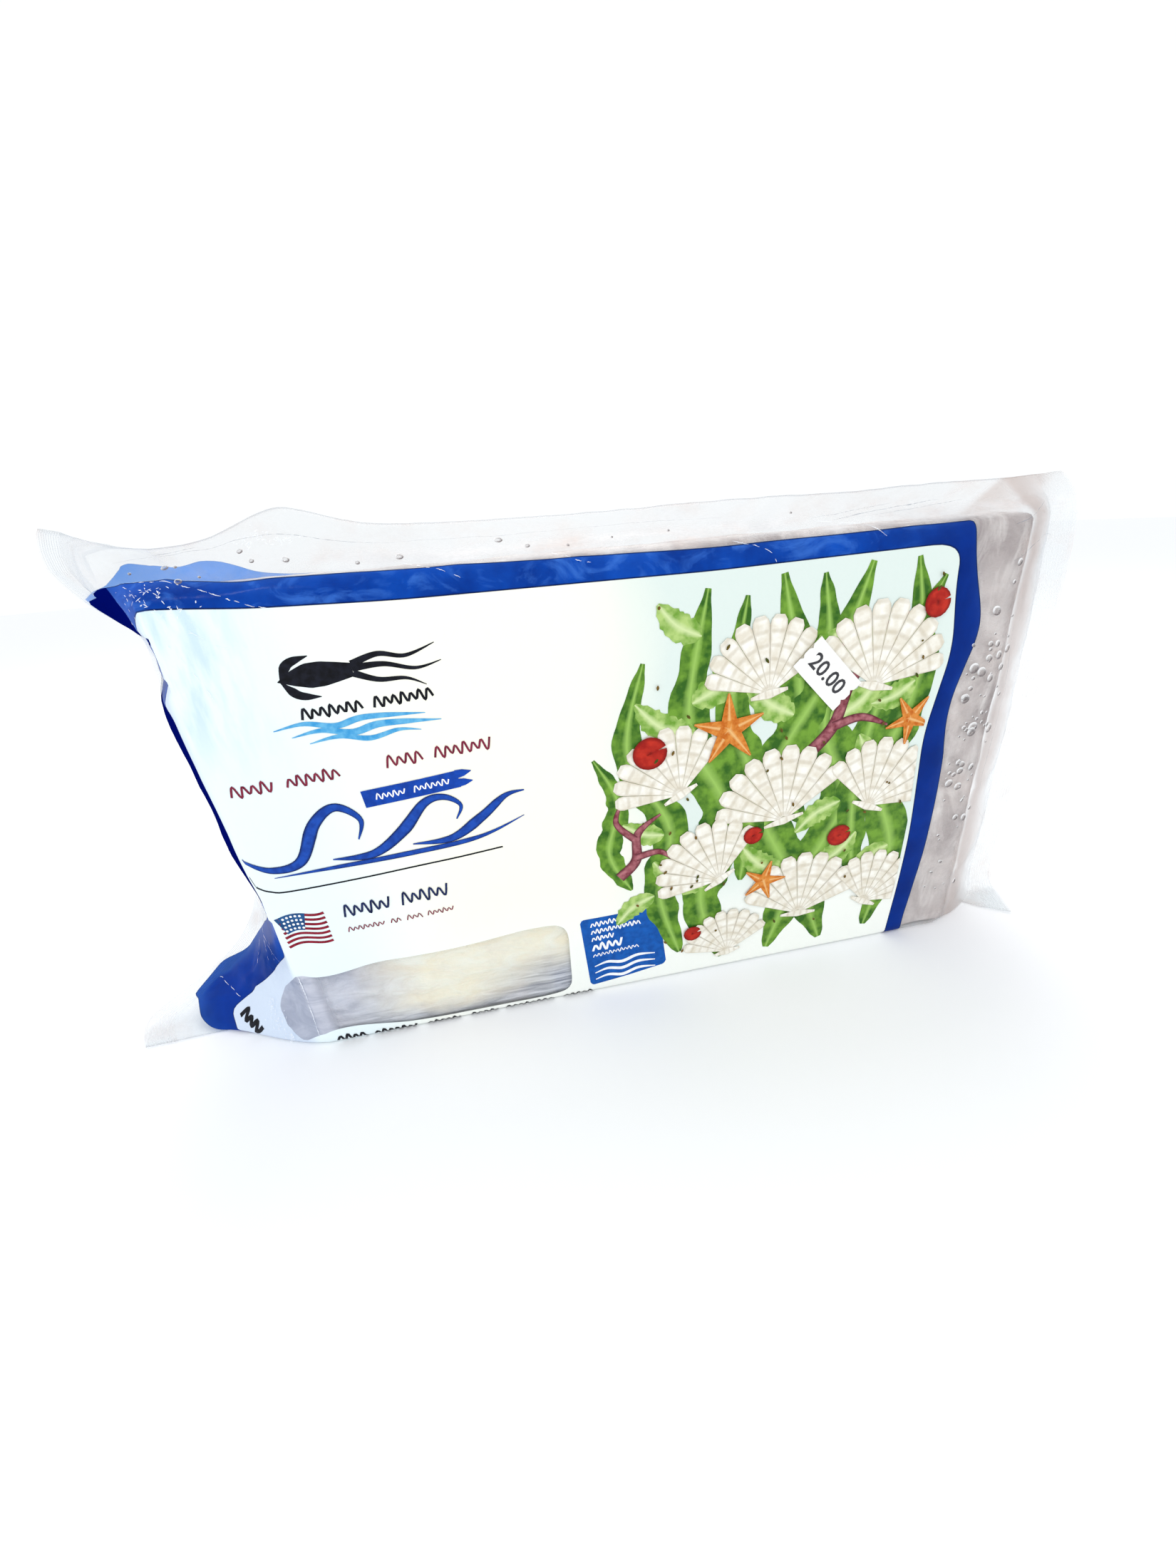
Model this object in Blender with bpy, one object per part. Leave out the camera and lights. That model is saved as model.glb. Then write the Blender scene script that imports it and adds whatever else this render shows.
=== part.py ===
# A block of frozen squid in a sealed film bag, standing on its long narrow side.
# The bag is a film tube round the block, pressed flat and sealed at both ends. Its loose
# film stands in a low ridge along the top. The left end sweeps back behind the block and
# spreads on the floor, and the right end stands straight out.
# X runs along the block, left to right, Y from its printed front to its back, and Z up.
# The origin is the middle of the block's underside.

import math

import bmesh
import bpy
from mathutils import Vector, noise

# The block, in metres
BLOCK_LENGTH = 0.250
BLOCK_HEIGHT = 0.154
BLOCK_DEPTH = 0.036
TOP_RADIUS = 0.005
BOTTOM_RADIUS = 0.0025
FACE_SWELL = 0.0010
DENT_DEPTH = 0.0006
DENT_SIZE = 0.034

# How far the top of the left end leans out past its foot, and where up it that starts
LEFT_LEAN = 0.0044
LEAN_START = 0.43

# Each end of the block: how long its rounding is, and how far the faces draw in there
LEFT_ROUNDING = (0.0020, 0.0005)
RIGHT_ROUNDING = (0.0080, 0.0028)

# The loose film
RIDGE_RISE = 0.0092
RIDGE_WAVE = 0.0012
RIDGE_WAVELENGTH = 0.045
RIDGE_SWAY = 0.0020
SWAY_WAVELENGTH = 0.060
HUMP_PLACE = -0.093
HUMP_WIDTH = 0.015
HUMP_RISE = 0.0070
SHOULDER_ANGLE = math.radians(50)
SEAL_WIDTH = 0.011
DEPTH_HUG = 0.65
HEIGHT_HUG = 1.4
FLAP_THICKNESS = 0.0009
END_BULGE = 0.0012
FOLD_DEPTH = 0.0008
FOLDS_PER_END = 4.5

# How finely the bag is divided
BOTTOM_STEPS = 3
CORNER_STEPS = 3
FACE_STEPS = 18
SHOULDER_STEPS = 2
SLOPE_STEPS = 4
BLOCK_STATIONS = 36
LEFT_STATIONS = 11
RIGHT_STATIONS = 7
SEAL_STATIONS = 2
CURVE_STEPS = 8

# The cut edge of each end's flap, from its bottom to its top: distance beyond the block's
# end, depth behind the block's front face, height above the floor. The first three points
# of each lie along the floor.
LEFT_CUT_EDGE = (
    (0.0636, 0.0153, 0.0008),
    (0.0668, 0.0215, 0.0018),
    (0.0672, 0.0275, 0.0036),
    (0.0603, 0.0330, 0.0066),
    (0.0490, 0.0400, 0.0112),
    (0.0385, 0.0480, 0.0180),
    (0.0310, 0.0545, 0.0300),
    (0.0296, 0.0580, 0.0450),
    (0.0332, 0.0595, 0.0640),
    (0.0350, 0.0595, 0.0850),
    (0.0354, 0.0595, 0.1060),
    (0.0335, 0.0575, 0.1250),
    (0.0310, 0.0530, 0.1375),
    (0.0352, 0.0500, 0.1444),
    (0.0400, 0.0480, 0.1505),
    (0.0440, 0.0460, 0.1580),
    (0.0444, 0.0450, 0.1640),
    (0.0420, 0.0440, 0.1712),
)
RIGHT_CUT_EDGE = (
    (0.0260, -0.0025, 0.0009),
    (0.0300, 0.0080, 0.0012),
    (0.0330, 0.0150, 0.0018),
    (0.0345, 0.0188, 0.0070),
    (0.0345, 0.0190, 0.0200),
    (0.0340, 0.0182, 0.0500),
    (0.0335, 0.0176, 0.0850),
    (0.0325, 0.0180, 0.1200),
    (0.0318, 0.0184, 0.1430),
    (0.0300, 0.0182, 0.1530),
    (0.0250, 0.0180, 0.1600),
    (0.0195, 0.0178, 0.1640),
)

# The price label, stuck askew on the front
LABEL_LENGTH = 0.022
LABEL_WIDTH = 0.012
LABEL_THICKNESS = 0.0004
LABEL_GAP = 0.0003
LABEL_CENTRE = (0.0568, 0.1119)
LABEL_TILT = math.radians(-47)
LABEL_STEPS = (8, 12)
NOTCH_PLACES = (1 / 3, 2 / 3)
NOTCH_HALF_WIDTH = 0.09
NOTCH_DEPTH = 0.0009

WELD_DISTANCE = 0.000001
SHARP_ANGLE = math.radians(40)


def clear_scene():
    for obj in list(bpy.data.objects):
        bpy.data.objects.remove(obj)


def material(name, colour, roughness, metallic=0.0):
    made = bpy.data.materials.new(name)
    made.use_nodes = True
    shader = made.node_tree.nodes["Principled BSDF"]
    shader.inputs["Base Color"].default_value = (*colour, 1.0)
    shader.inputs["Roughness"].default_value = roughness
    shader.inputs["Metallic"].default_value = metallic
    return made


def finished_object(name, bm, look):
    bmesh.ops.recalc_face_normals(bm, faces=bm.faces)
    bmesh.ops.triangulate(bm, faces=bm.faces)
    mesh = bpy.data.meshes.new(name)
    bm.to_mesh(mesh)
    bm.free()
    mesh.materials.append(look)
    mesh.shade_smooth()
    mesh.set_sharp_from_angle(angle=SHARP_ANGLE)
    made = bpy.data.objects.new(name, mesh)
    bpy.context.scene.collection.objects.link(made)
    return made


def between(low, high, share):
    return low + (high - low) * share


def eased(share):
    share = min(1.0, max(0.0, share))
    return share * share * (3 - 2 * share)


def swell(x, z):
    """How far the film and the block under it stand out from a flat face."""
    across = max(0.0, 1 - (2 * x / BLOCK_LENGTH) ** 2)
    up = math.sin(math.pi * min(1.0, max(0.0, z / BLOCK_HEIGHT)))
    spot = Vector((x / DENT_SIZE, z / DENT_SIZE, 0.0))
    return (FACE_SWELL * across + DENT_DEPTH * noise.noise(spot)) * up


def ridge_at(x):
    """The loose film's ridge: its height above the block, and how far back it leans."""
    wave = noise.noise(Vector((x / RIDGE_WAVELENGTH, 3.1, 0.0)))
    drift = noise.noise(Vector((x / SWAY_WAVELENGTH, 7.7, 0.0)))
    hump = math.exp(-(((x - HUMP_PLACE) / HUMP_WIDTH) ** 2))
    return RIDGE_RISE + RIDGE_WAVE * wave + HUMP_RISE * hump, RIDGE_SWAY * drift


def half_section(rise):
    """(half depth, height) points round half the block, from under it to the ridge."""
    half_depth = BLOCK_DEPTH / 2
    foot = half_depth - BOTTOM_RADIUS
    points = [(foot * i / BOTTOM_STEPS, 0.0) for i in range(BOTTOM_STEPS)]
    for i in range(CORNER_STEPS):
        angle = math.pi / 2 * i / CORNER_STEPS
        out = BOTTOM_RADIUS * math.sin(angle)
        points.append((foot + out, BOTTOM_RADIUS * (1 - math.cos(angle))))
    shoulder = BLOCK_HEIGHT - TOP_RADIUS
    for i in range(FACE_STEPS):
        points.append((half_depth, between(BOTTOM_RADIUS, shoulder, i / FACE_STEPS)))
    for i in range(SHOULDER_STEPS + 1):
        angle = SHOULDER_ANGLE * i / SHOULDER_STEPS
        inward = TOP_RADIUS * (1 - math.cos(angle))
        points.append((half_depth - inward, shoulder + TOP_RADIUS * math.sin(angle)))
    slope_foot = points[-1]
    for i in range(1, SLOPE_STEPS + 1):
        share = i / SLOPE_STEPS
        height = between(slope_foot[1], BLOCK_HEIGHT + rise, share)
        points.append((between(slope_foot[0], 0.0, share), height))
    return points


def block_ring(x, draw_in=0.0):
    """The ring round the block: its front half upwards, then its back half upwards."""
    rise, sway = ridge_at(x)
    leftward = LEFT_LEAN * max(0.0, -2 * x / BLOCK_LENGTH) ** 2
    front, back = [], []
    for half_depth, height in half_section(rise):
        flatness = half_depth / (BLOCK_DEPTH / 2)
        reach = half_depth + (swell(x, height) - draw_in) * flatness
        sideways = leftward * (LEAN_START - height / BLOCK_HEIGHT)
        lean = sway * eased((height - BLOCK_HEIGHT) / rise)
        front.append(Vector((x + sideways, lean - reach, height)))
        back.append(Vector((x + sideways, lean + reach, height)))
    return front, back


def rounded_curve(knots):
    """A smooth curve through the knots, as short straight pieces."""
    points = []
    for i in range(len(knots) - 1):
        before = knots[max(i - 1, 0)]
        start, end = knots[i], knots[i + 1]
        after = knots[min(i + 2, len(knots) - 1)]
        for j in range(CURVE_STEPS):
            t = j / CURVE_STEPS
            straight = 2 * start + (end - before) * t
            bend = (2 * before - 5 * start + 4 * end - after) * t**2
            turn = (3 * start - before - 3 * end + after) * t**3
            points.append((straight + bend + turn) / 2)
    points.append(knots[-1])
    return points


def along(points, share):
    """(place, direction) at a share of the curve's length."""
    lengths = [(b - a).length for a, b in zip(points, points[1:])]
    left = share * sum(lengths)
    for a, b, length in zip(points, points[1:], lengths):
        if left <= length:
            break
        left -= length
    return a.lerp(b, min(1.0, left / length)), (b - a).normalized()


def shares_along(points):
    """Each point's share of the way along the points."""
    shares = [0.0]
    for a, b in zip(points, points[1:]):
        shares.append(shares[-1] + (b - a).length)
    return [share / shares[-1] for share in shares]


def hugging(start, end, r, share):
    """A point on the way from start to end, kept down and forward where it is near the floor."""
    low = 1 - eased(share * 5)
    powers = (1.0, 1 + DEPTH_HUG * low, 1 + HEIGHT_HUG * low)
    return Vector(between(a, b, r**power) for a, b, power in zip(start, end, powers))


def flap(end_ring, cut_edge, side, stations):
    """Rings from the block's end to the cut edge. side is -1 at the left, 1 at the right."""
    front, back = end_ring
    curve = rounded_curve(
        [
            Vector((side * (BLOCK_LENGTH / 2 + out), depth - BLOCK_DEPTH / 2, height))
            for out, depth, height in cut_edge
        ]
    )
    rings = [([], []) for _ in range(stations + SEAL_STATIONS)]
    for k, share in enumerate(shares_along(front)):
        cut, upwards = along(curve, share)
        inward = ((front[k] + back[k]) / 2 - cut).normalized()
        seal = cut + inward * SEAL_WIDTH
        normal = side * upwards.cross(inward).normalized()
        # Folds and bulges fade out towards the floor and the ridge.
        free = eased(share * 8 - 1) * eased((1 - share) * 9)
        fold = FOLD_DEPTH * math.sin(2 * math.pi * FOLDS_PER_END * share)
        for j in range(1, stations + 1):
            r = j / stations
            bow = math.sin(math.pi * r) * free
            lift = normal * (FLAP_THICKNESS / 2 * r**2 + END_BULGE * bow)
            shift = normal * fold * bow
            rings[j - 1][0].append(hugging(front[k], seal, r, share) + shift + lift)
            rings[j - 1][1].append(hugging(back[k], seal, r, share) + shift - lift)
        for j in range(1, SEAL_STATIONS + 1):
            place = seal.lerp(cut, j / SEAL_STATIONS)
            lift = normal * FLAP_THICKNESS / 2
            rings[stations + j - 1][0].append(place + lift)
            rings[stations + j - 1][1].append(place - lift)
    return rings


def wrapped_sheet(bm, rings):
    """A flat sheet of film moved to the rings' places and welded along its seam."""
    loops = []
    for front, back in rings:
        # The bottom and the top of the two halves meet on the film's folds.
        lowest = (front[0] + back[0]) / 2
        highest = (front[-1] + back[-1]) / 2
        loops.append([lowest, *front[1:-1], highest, *back[-2:0:-1], lowest])
    columns, rows = len(loops[0]), len(loops)
    grid = bmesh.ops.create_grid(bm, x_segments=columns - 1, y_segments=rows - 1, size=1.0)
    in_order = sorted(grid["verts"], key=lambda v: (round(v.co.y, 5), v.co.x))
    for i, vert in enumerate(in_order):
        vert.co = loops[i // columns][i % columns]
    bmesh.ops.remove_doubles(bm, verts=bm.verts, dist=WELD_DISTANCE)


def close_cut_edges(bm):
    """A strip of faces across the film's thickness at each end."""
    cut = [edge for edge in bm.edges if edge.is_boundary]
    for side in (-1, 1):
        ring = [edge for edge in cut if edge.verts[0].co.x * side > 0]
        lowest = min((v for e in ring for v in e.verts), key=lambda v: v.co.z)
        paths = [[lowest, edge.other_vert(lowest)] for edge in lowest.link_edges if edge in ring]
        while paths[0][-1] is not paths[1][-1]:
            for path in paths:
                ahead = [e for e in path[-1].link_edges if e in ring and path[-2] not in e.verts]
                path.append(ahead[0].other_vert(path[-1]))
        for a, b, c, d in zip(paths[0], paths[0][1:], paths[1][1:], paths[1]):
            bm.faces.new(dict.fromkeys((a, b, c, d)))


def build_bag(look):
    half = BLOCK_LENGTH / 2
    start = -half + LEFT_ROUNDING[0]
    end = half - RIGHT_ROUNDING[0]
    body = [
        block_ring(between(start, end, i / (BLOCK_STATIONS - 1))) for i in range(BLOCK_STATIONS)
    ]
    left_end = block_ring(-half, LEFT_ROUNDING[1])
    right_end = block_ring(half, RIGHT_ROUNDING[1])
    left = flap(left_end, LEFT_CUT_EDGE, -1, LEFT_STATIONS)
    right = flap(right_end, RIGHT_CUT_EDGE, 1, RIGHT_STATIONS)
    bm = bmesh.new()
    wrapped_sheet(bm, [*reversed(left), left_end, *body, right_end, *right])
    close_cut_edges(bm)
    return finished_object("film_bag", bm, look)


def build_label(look):
    """A paper label with torn notches in its short ends, lying on the bag's front."""
    columns, rows = LABEL_STEPS
    along_label = Vector((math.cos(LABEL_TILT), math.sin(LABEL_TILT)))
    across_label = Vector((-along_label.y, along_label.x))
    bm = bmesh.new()
    bmesh.ops.create_grid(bm, x_segments=columns, y_segments=rows, size=0.5)
    for vert in bm.verts:
        nearest = min(abs(vert.co.y + 0.5 - place) for place in NOTCH_PLACES)
        notched = NOTCH_DEPTH if nearest < NOTCH_HALF_WIDTH else 0.0
        place = Vector(LABEL_CENTRE)
        place += along_label * vert.co.x * (LABEL_LENGTH - 2 * notched)
        place += across_label * vert.co.y * LABEL_WIDTH
        depth = BLOCK_DEPTH / 2 + swell(place.x, place.y) + LABEL_GAP + LABEL_THICKNESS
        vert.co = (place.x, -depth, place.y)
    bmesh.ops.recalc_face_normals(bm, faces=bm.faces)
    bmesh.ops.solidify(bm, geom=bm.faces[:], thickness=LABEL_THICKNESS)
    return finished_object("price_label", bm, look)


clear_scene()
build_bag(material("printed film", (0.82, 0.86, 0.90), 0.25))
build_label(material("label paper", (0.93, 0.93, 0.90), 0.6))
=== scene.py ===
# A sealed film bag round a frozen block of cleaned squid, standing on its long narrow side.
# X runs along the block, left to right, Y from its printed front to its back, and Z up.
# Solid shapes are in metres. Places on the film are in mm: u along the block from its left
# end, v up the film from the block's bottom edge.

import math
import random

import bpy
import numpy as np
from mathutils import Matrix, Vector, noise


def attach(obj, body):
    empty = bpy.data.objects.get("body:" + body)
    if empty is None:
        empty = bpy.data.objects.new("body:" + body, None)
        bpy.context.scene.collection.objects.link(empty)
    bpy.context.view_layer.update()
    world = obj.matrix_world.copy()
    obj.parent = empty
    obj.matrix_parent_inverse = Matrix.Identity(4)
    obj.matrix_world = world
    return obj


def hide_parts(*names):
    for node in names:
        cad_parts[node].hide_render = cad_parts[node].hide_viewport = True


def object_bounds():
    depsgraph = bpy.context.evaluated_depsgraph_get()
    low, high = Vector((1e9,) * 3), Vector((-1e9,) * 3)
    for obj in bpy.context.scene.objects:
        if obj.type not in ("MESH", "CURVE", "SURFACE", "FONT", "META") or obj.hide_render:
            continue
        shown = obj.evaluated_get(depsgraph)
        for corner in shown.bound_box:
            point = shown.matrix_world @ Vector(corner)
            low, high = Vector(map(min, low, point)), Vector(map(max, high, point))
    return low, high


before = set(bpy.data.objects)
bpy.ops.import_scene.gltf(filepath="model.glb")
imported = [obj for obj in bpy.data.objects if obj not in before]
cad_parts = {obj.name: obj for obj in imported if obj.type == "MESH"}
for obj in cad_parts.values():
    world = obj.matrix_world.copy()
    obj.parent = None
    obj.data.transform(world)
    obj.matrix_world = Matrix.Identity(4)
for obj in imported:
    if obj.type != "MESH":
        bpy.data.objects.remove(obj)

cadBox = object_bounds()
mm = 0.001
backStart = 1000  # v of the back film is this and its height in mm


# Tools that every piece uses

def deselectAll():
    for obj in bpy.context.selected_objects:
        obj.select_set(False)


def makeActive(obj):
    deselectAll()
    obj.select_set(True)
    bpy.context.view_layer.objects.active = obj


def linearColour(code):  # sRGB hex to linear, with an alpha of 1
    parts = [int(code[i : i + 2], 16) / 255 for i in (1, 3, 5)]
    return (*[c / 12.92 if c <= 0.04045 else ((c + 0.055) / 1.055) ** 2.4 for c in parts], 1.0)


def newMaterial(name):
    made = bpy.data.materials.new(name)
    made.use_nodes = True
    made.node_tree.nodes.clear()
    return made, made.node_tree


def addNode(tree, kind, inputs=None, **settings):  # a node with its settings and its links
    node = tree.nodes.new("ShaderNode" + kind)
    for name, value in settings.items():
        setattr(node, name, value)
    for name, value in (inputs or {}).items():
        if isinstance(value, bpy.types.Node):  # its first output that is in use
            value = next(output for output in value.outputs if output.enabled)
        if isinstance(value, bpy.types.NodeSocket):
            tree.links.new(value, node.inputs[name])
        else:
            node.inputs[name].default_value = value
    return node


def addSteps(tree, steps, parts=None):
    # Adds the nodes of each step to parts, by the step's name. After the name comes its kind:
    # "field": an attribute of the mesh, and "axis": a coordinate of the place on the piece
    # "noise": size in mm, from, to, detail, and if need be roughness, distortion and turn
    # "layers": the lowest tone, then the share and the tone of each layer over it
    # "LINEAR" or "SMOOTHSTEP" ramp: of what, from, to, the most, and if need be the least
    # or else a Math operation and its values
    parts = parts or {"spot": addNode(tree, "TexCoord").outputs["Object"]}
    for name, kind, *values in steps:
        values = [parts.get(value, value) for value in values]
        values = [linearColour(value) if str(value)[0] == "#" else value for value in values]
        if kind == "field":
            parts[name] = addNode(tree, "Attribute", attribute_name=name).outputs["Fac"]
        elif kind == "axis":
            parts[name] = addNode(tree, "SeparateXYZ", {0: parts["spot"]}).outputs[name]
        elif kind == "noise":
            size, low, high, detail, roughness, distortion, turn = values + [0.5, 0.0, 0.0][len(values) - 4 :]
            placed = addNode(tree, "Mapping", {
                "Vector": parts["spot"],
                "Rotation": (0.0, turn, 0.0),
                "Scale": np.ones(3) / (np.array(size) * mm),
            })
            pattern = addNode(tree, "TexNoise", {
                "Vector": placed,
                "Scale": 1.0,
                "Detail": detail,
                "Roughness": roughness,
                "Distortion": distortion,
            })
            parts[name] = addNode(tree, "MapRange", {
                "Value": pattern, "From Min": low, "From Max": high,
            }, clamp=True)
        elif kind == "layers":
            parts[name] = values[0]
            for share, tone in zip(values[1::2], values[2::2]):
                parts[name] = addNode(tree, "Mix", {
                    "Factor": share, "A": parts[name], "B": tone,
                }, data_type="RGBA")
        elif kind in ("LINEAR", "SMOOTHSTEP"):
            value, low, high, most, least = values + [0.0][len(values) - 4 :]
            parts[name] = addNode(tree, "MapRange", {
                "Value": value, "From Min": low, "From Max": high, "To Min": least, "To Max": most,
            }, clamp=True, interpolation_type=kind)
        else:
            parts[name] = addNode(tree, "Math", dict(enumerate(values)), operation=kind)
    return parts


def finishPiece(obj, material, body="root"):
    obj.data.materials.clear()
    obj.data.materials.append(material)
    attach(obj, body)


def between(low, high, share):
    return low + (high - low) * share


def eased(share):
    share = min(1.0, max(0.0, share))
    return share * share * (3 - 2 * share)


# Camera

camera = {
    "place": (-0.0442, -0.1750, 0.1590),
    "forward": (0.133, 0.899, -0.417),
    "up": (0.146, 0.399, 0.905),
    "lens": 12.76,  # mm, on a 36 mm sensor
}


def buildCamera():
    data = bpy.data.cameras.new("camera")
    data.lens = camera["lens"]
    data.sensor_width = 36.0
    data.clip_start = 0.005
    obj = bpy.data.objects.new("camera", data)
    bpy.context.scene.collection.objects.link(obj)
    back = -Vector(camera["forward"]).normalized()
    right = Vector(camera["up"]).cross(back).normalized()
    up = back.cross(right)
    for row in range(3):
        for column, axis in enumerate((right, up, back, Vector(camera["place"]))):
            obj.matrix_world[row][column] = axis[row]
    bpy.context.scene.camera = obj


buildCamera()
print("camera done")


# Floor and light

stage = {
    "floorSize": 6.0,
    "floorColour": "#FAFBFD",
    "worldColour": "#F9FBFD",
    "worldStrength": 1.06,
    "grain": 1.1,  # mm, of the floor
    "lights": (
        # name, watts, size in m, place, aim, colour
        ("soft key behind", 3.6, 0.8, (0.10, 0.55, 0.85), (0.0, 0.0, 0.05), "#FFFBF4"),
        ("glint", 0.35, 0.04, (-0.30, -0.30, 0.55), (-0.10, 0.0, 0.10), "#FFFFFF"),
    ),
}


def buildStage():
    deselectAll()
    bpy.ops.mesh.primitive_plane_add(size=stage["floorSize"], location=(0, 0, 0))
    floor = bpy.context.object
    floor.name = "floor"
    paper, tree = newMaterial("seamless paper")  # matt and nearly white
    grain = addSteps(tree, [("grain", "noise", stage["grain"], 0.0, 1.0, 2.0)])["grain"]
    bump = addNode(tree, "Bump", {"Strength": 0.02, "Distance": 0.0002, "Height": grain})
    sheet = addNode(tree, "BsdfPrincipled", {
        "Base Color": linearColour(stage["floorColour"]),
        "Roughness": 0.9,
        "Specular IOR Level": 0.1,
        "Normal": bump,
    })
    addNode(tree, "OutputMaterial", {"Surface": sheet})
    floor.data.materials.append(paper)

    world = bpy.data.worlds.new("soft white room")
    bpy.context.scene.world = world
    world.use_nodes = True
    glow = world.node_tree.nodes["Background"]
    glow.inputs["Color"].default_value = linearColour(stage["worldColour"])
    glow.inputs["Strength"].default_value = stage["worldStrength"]

    for name, watts, size, place, aim, colour in stage["lights"]:
        data = bpy.data.lights.new(name, "AREA")
        data.energy = watts
        data.shape = "DISK"
        data.size = size
        data.color = linearColour(colour)[:3]
        lamp = bpy.data.objects.new(name, data)
        bpy.context.scene.collection.objects.link(lamp)
        lamp.location = place
        lamp.rotation_euler = (Vector(aim) - Vector(place)).to_track_quat("-Z", "Y").to_euler()
    bpy.context.scene.view_settings.view_transform = "Standard"


buildStage()
print("floor and light done")


# The film bag: a film tube round the block, sealed at both ends

film = {
    "length": 0.250,
    "height": 0.154,
    "depth": 0.036,
    "topRadius": 0.005,
    "bottomRadius": 0.0025,
    "faceSwell": 0.0010,
    "dentDepth": 0.0006,
    "dentSize": 0.034,
    "leftLean": 0.0044,
    "leanStart": 0.43,
    "leftRounding": (0.0020, 0.0005),  # how long it is, and how far the faces draw in
    "rightRounding": (0.0080, 0.0028),
    "ridgeRise": 0.0092,
    "ridgeWave": (0.0012, 0.045),  # height and wavelength
    "ridgeSway": (0.0020, 0.060),
    "hump": (-0.093, 0.015, 0.0070),  # place, width, rise
    "shoulderAngle": math.radians(50),
    "sealWidth": 0.011,
    "depthHug": 0.65,
    "heightHug": 1.4,
    "hugShare": 5,  # over one in how many parts of the height
    "freeEnds": (8, 9),  # the bulge fades over one in so many parts, at the foot and the top
    "flapThickness": 0.0009,
    "endBulge": 0.0012,
    "foldDepth": 0.0008,
    "foldsPerEnd": 4.5,
    # Cut edges, bottom to top: out beyond the block's end, behind its front, above the floor
    "leftCutEdge": (
        (0.0636, 0.0153, 0.0008), (0.0668, 0.0215, 0.0018), (0.0672, 0.0275, 0.0036),
        (0.0603, 0.0330, 0.0066), (0.0490, 0.0400, 0.0112), (0.0385, 0.0480, 0.0180),
        (0.0310, 0.0545, 0.0300), (0.0296, 0.0580, 0.0450), (0.0332, 0.0595, 0.0640),
        (0.0350, 0.0595, 0.0850), (0.0354, 0.0595, 0.1060), (0.0335, 0.0575, 0.1250),
        (0.0310, 0.0530, 0.1375), (0.0352, 0.0500, 0.1444), (0.0400, 0.0480, 0.1505),
        (0.0440, 0.0460, 0.1580), (0.0444, 0.0450, 0.1640), (0.0420, 0.0440, 0.1712),
    ),
    "rightCutEdge": (
        (0.0260, -0.0025, 0.0009), (0.0300, 0.0080, 0.0012), (0.0330, 0.0150, 0.0018),
        (0.0345, 0.0188, 0.0070), (0.0345, 0.0190, 0.0200), (0.0340, 0.0182, 0.0500),
        (0.0335, 0.0176, 0.0850), (0.0325, 0.0180, 0.1200), (0.0318, 0.0184, 0.1430),
        (0.0300, 0.0182, 0.1530), (0.0250, 0.0180, 0.1600), (0.0195, 0.0178, 0.1640),
    ),
    # Where the left end's film stands out before it turns back: height, out, behind the front
    "leftKnees": (
        (0.054, 0.0, 0.0), (0.062, 0.0026, 0.005), (0.071, 0.0038, 0.005), (0.086, 0.0048, 0.005),
        (0.101, 0.0064, 0.005), (0.119, 0.0066, 0.005), (0.125, 0.0062, 0.005), (0.131, 0.0, 0.0),
        (0.141, 0.0, 0.0), (0.1435, 0.0060, 0.005), (0.1495, 0.0107, 0.010),
        (0.1555, 0.0135, 0.012), (0.1608, 0.0134, 0.010), (0.1660, 0.0140, 0.010),
    ),
    # How finely it is divided
    "bottomSteps": 10,
    "cornerSteps": 4,
    "faceSteps": 100,
    "shoulderSteps": 4,
    "slopeSteps": 14,
    "blockRows": 165,
    "leftRows": 38,
    "rightRows": 22,
    "sealRows": 7,
    "curveSteps": 8,
}


def swell(x, z):  # how far the film stands out from a flat face
    across = max(0.0, 1 - (2 * x / film["length"]) ** 2)
    up = math.sin(math.pi * min(1.0, max(0.0, z / film["height"])))
    spot = Vector((x, z, 0.0)) / film["dentSize"]
    return (film["faceSwell"] * across + film["dentDepth"] * noise.noise(spot)) * up


def ridgeAt(x):  # the ridge's height above the block, and how far back it leans
    wave = film["ridgeWave"][0] * noise.noise(Vector((x / film["ridgeWave"][1], 3.1, 0.0)))
    drift = film["ridgeSway"][0] * noise.noise(Vector((x / film["ridgeSway"][1], 7.7, 0.0)))
    place, width, rise = film["hump"]
    return film["ridgeRise"] + wave + rise * math.exp(-(((x - place) / width) ** 2)), drift


def halfSection(rise):  # (half depth, height) from under the block up to the ridge
    half = film["depth"] / 2
    low, high = film["bottomRadius"], film["topRadius"]
    points = [((half - low) * i / film["bottomSteps"], 0.0) for i in range(film["bottomSteps"])]
    for i in range(film["cornerSteps"]):
        angle = math.pi / 2 * i / film["cornerSteps"]
        points.append((half - low + low * math.sin(angle), low * (1 - math.cos(angle))))
    shoulder = film["height"] - high
    for i in range(film["faceSteps"]):
        points.append((half, between(low, shoulder, i / film["faceSteps"])))
    for i in range(film["shoulderSteps"] + 1):
        angle = film["shoulderAngle"] * i / film["shoulderSteps"]
        points.append((half - high * (1 - math.cos(angle)), shoulder + high * math.sin(angle)))
    foot = points[-1]
    for i in range(1, film["slopeSteps"] + 1):
        share = i / film["slopeSteps"]
        points.append((foot[0] * (1 - share), between(foot[1], film["height"] + rise, share)))
    return points


def blockRing(x, drawIn=0.0):  # the front half upwards, then the back half upwards
    rise, sway = ridgeAt(x)
    leftward = film["leftLean"] * max(0.0, -2 * x / film["length"]) ** 2
    front, back = [], []
    for half, height in halfSection(rise):
        flatness = half / (film["depth"] / 2)
        reach = half + (swell(x, height) - drawIn) * flatness
        sideways = leftward * (film["leanStart"] - height / film["height"])
        lean = sway * eased((height - film["height"]) / rise)
        front.append(Vector((x + sideways, lean - reach, height)))
        back.append(Vector((x + sideways, lean + reach, height)))
    return front, back


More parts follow.
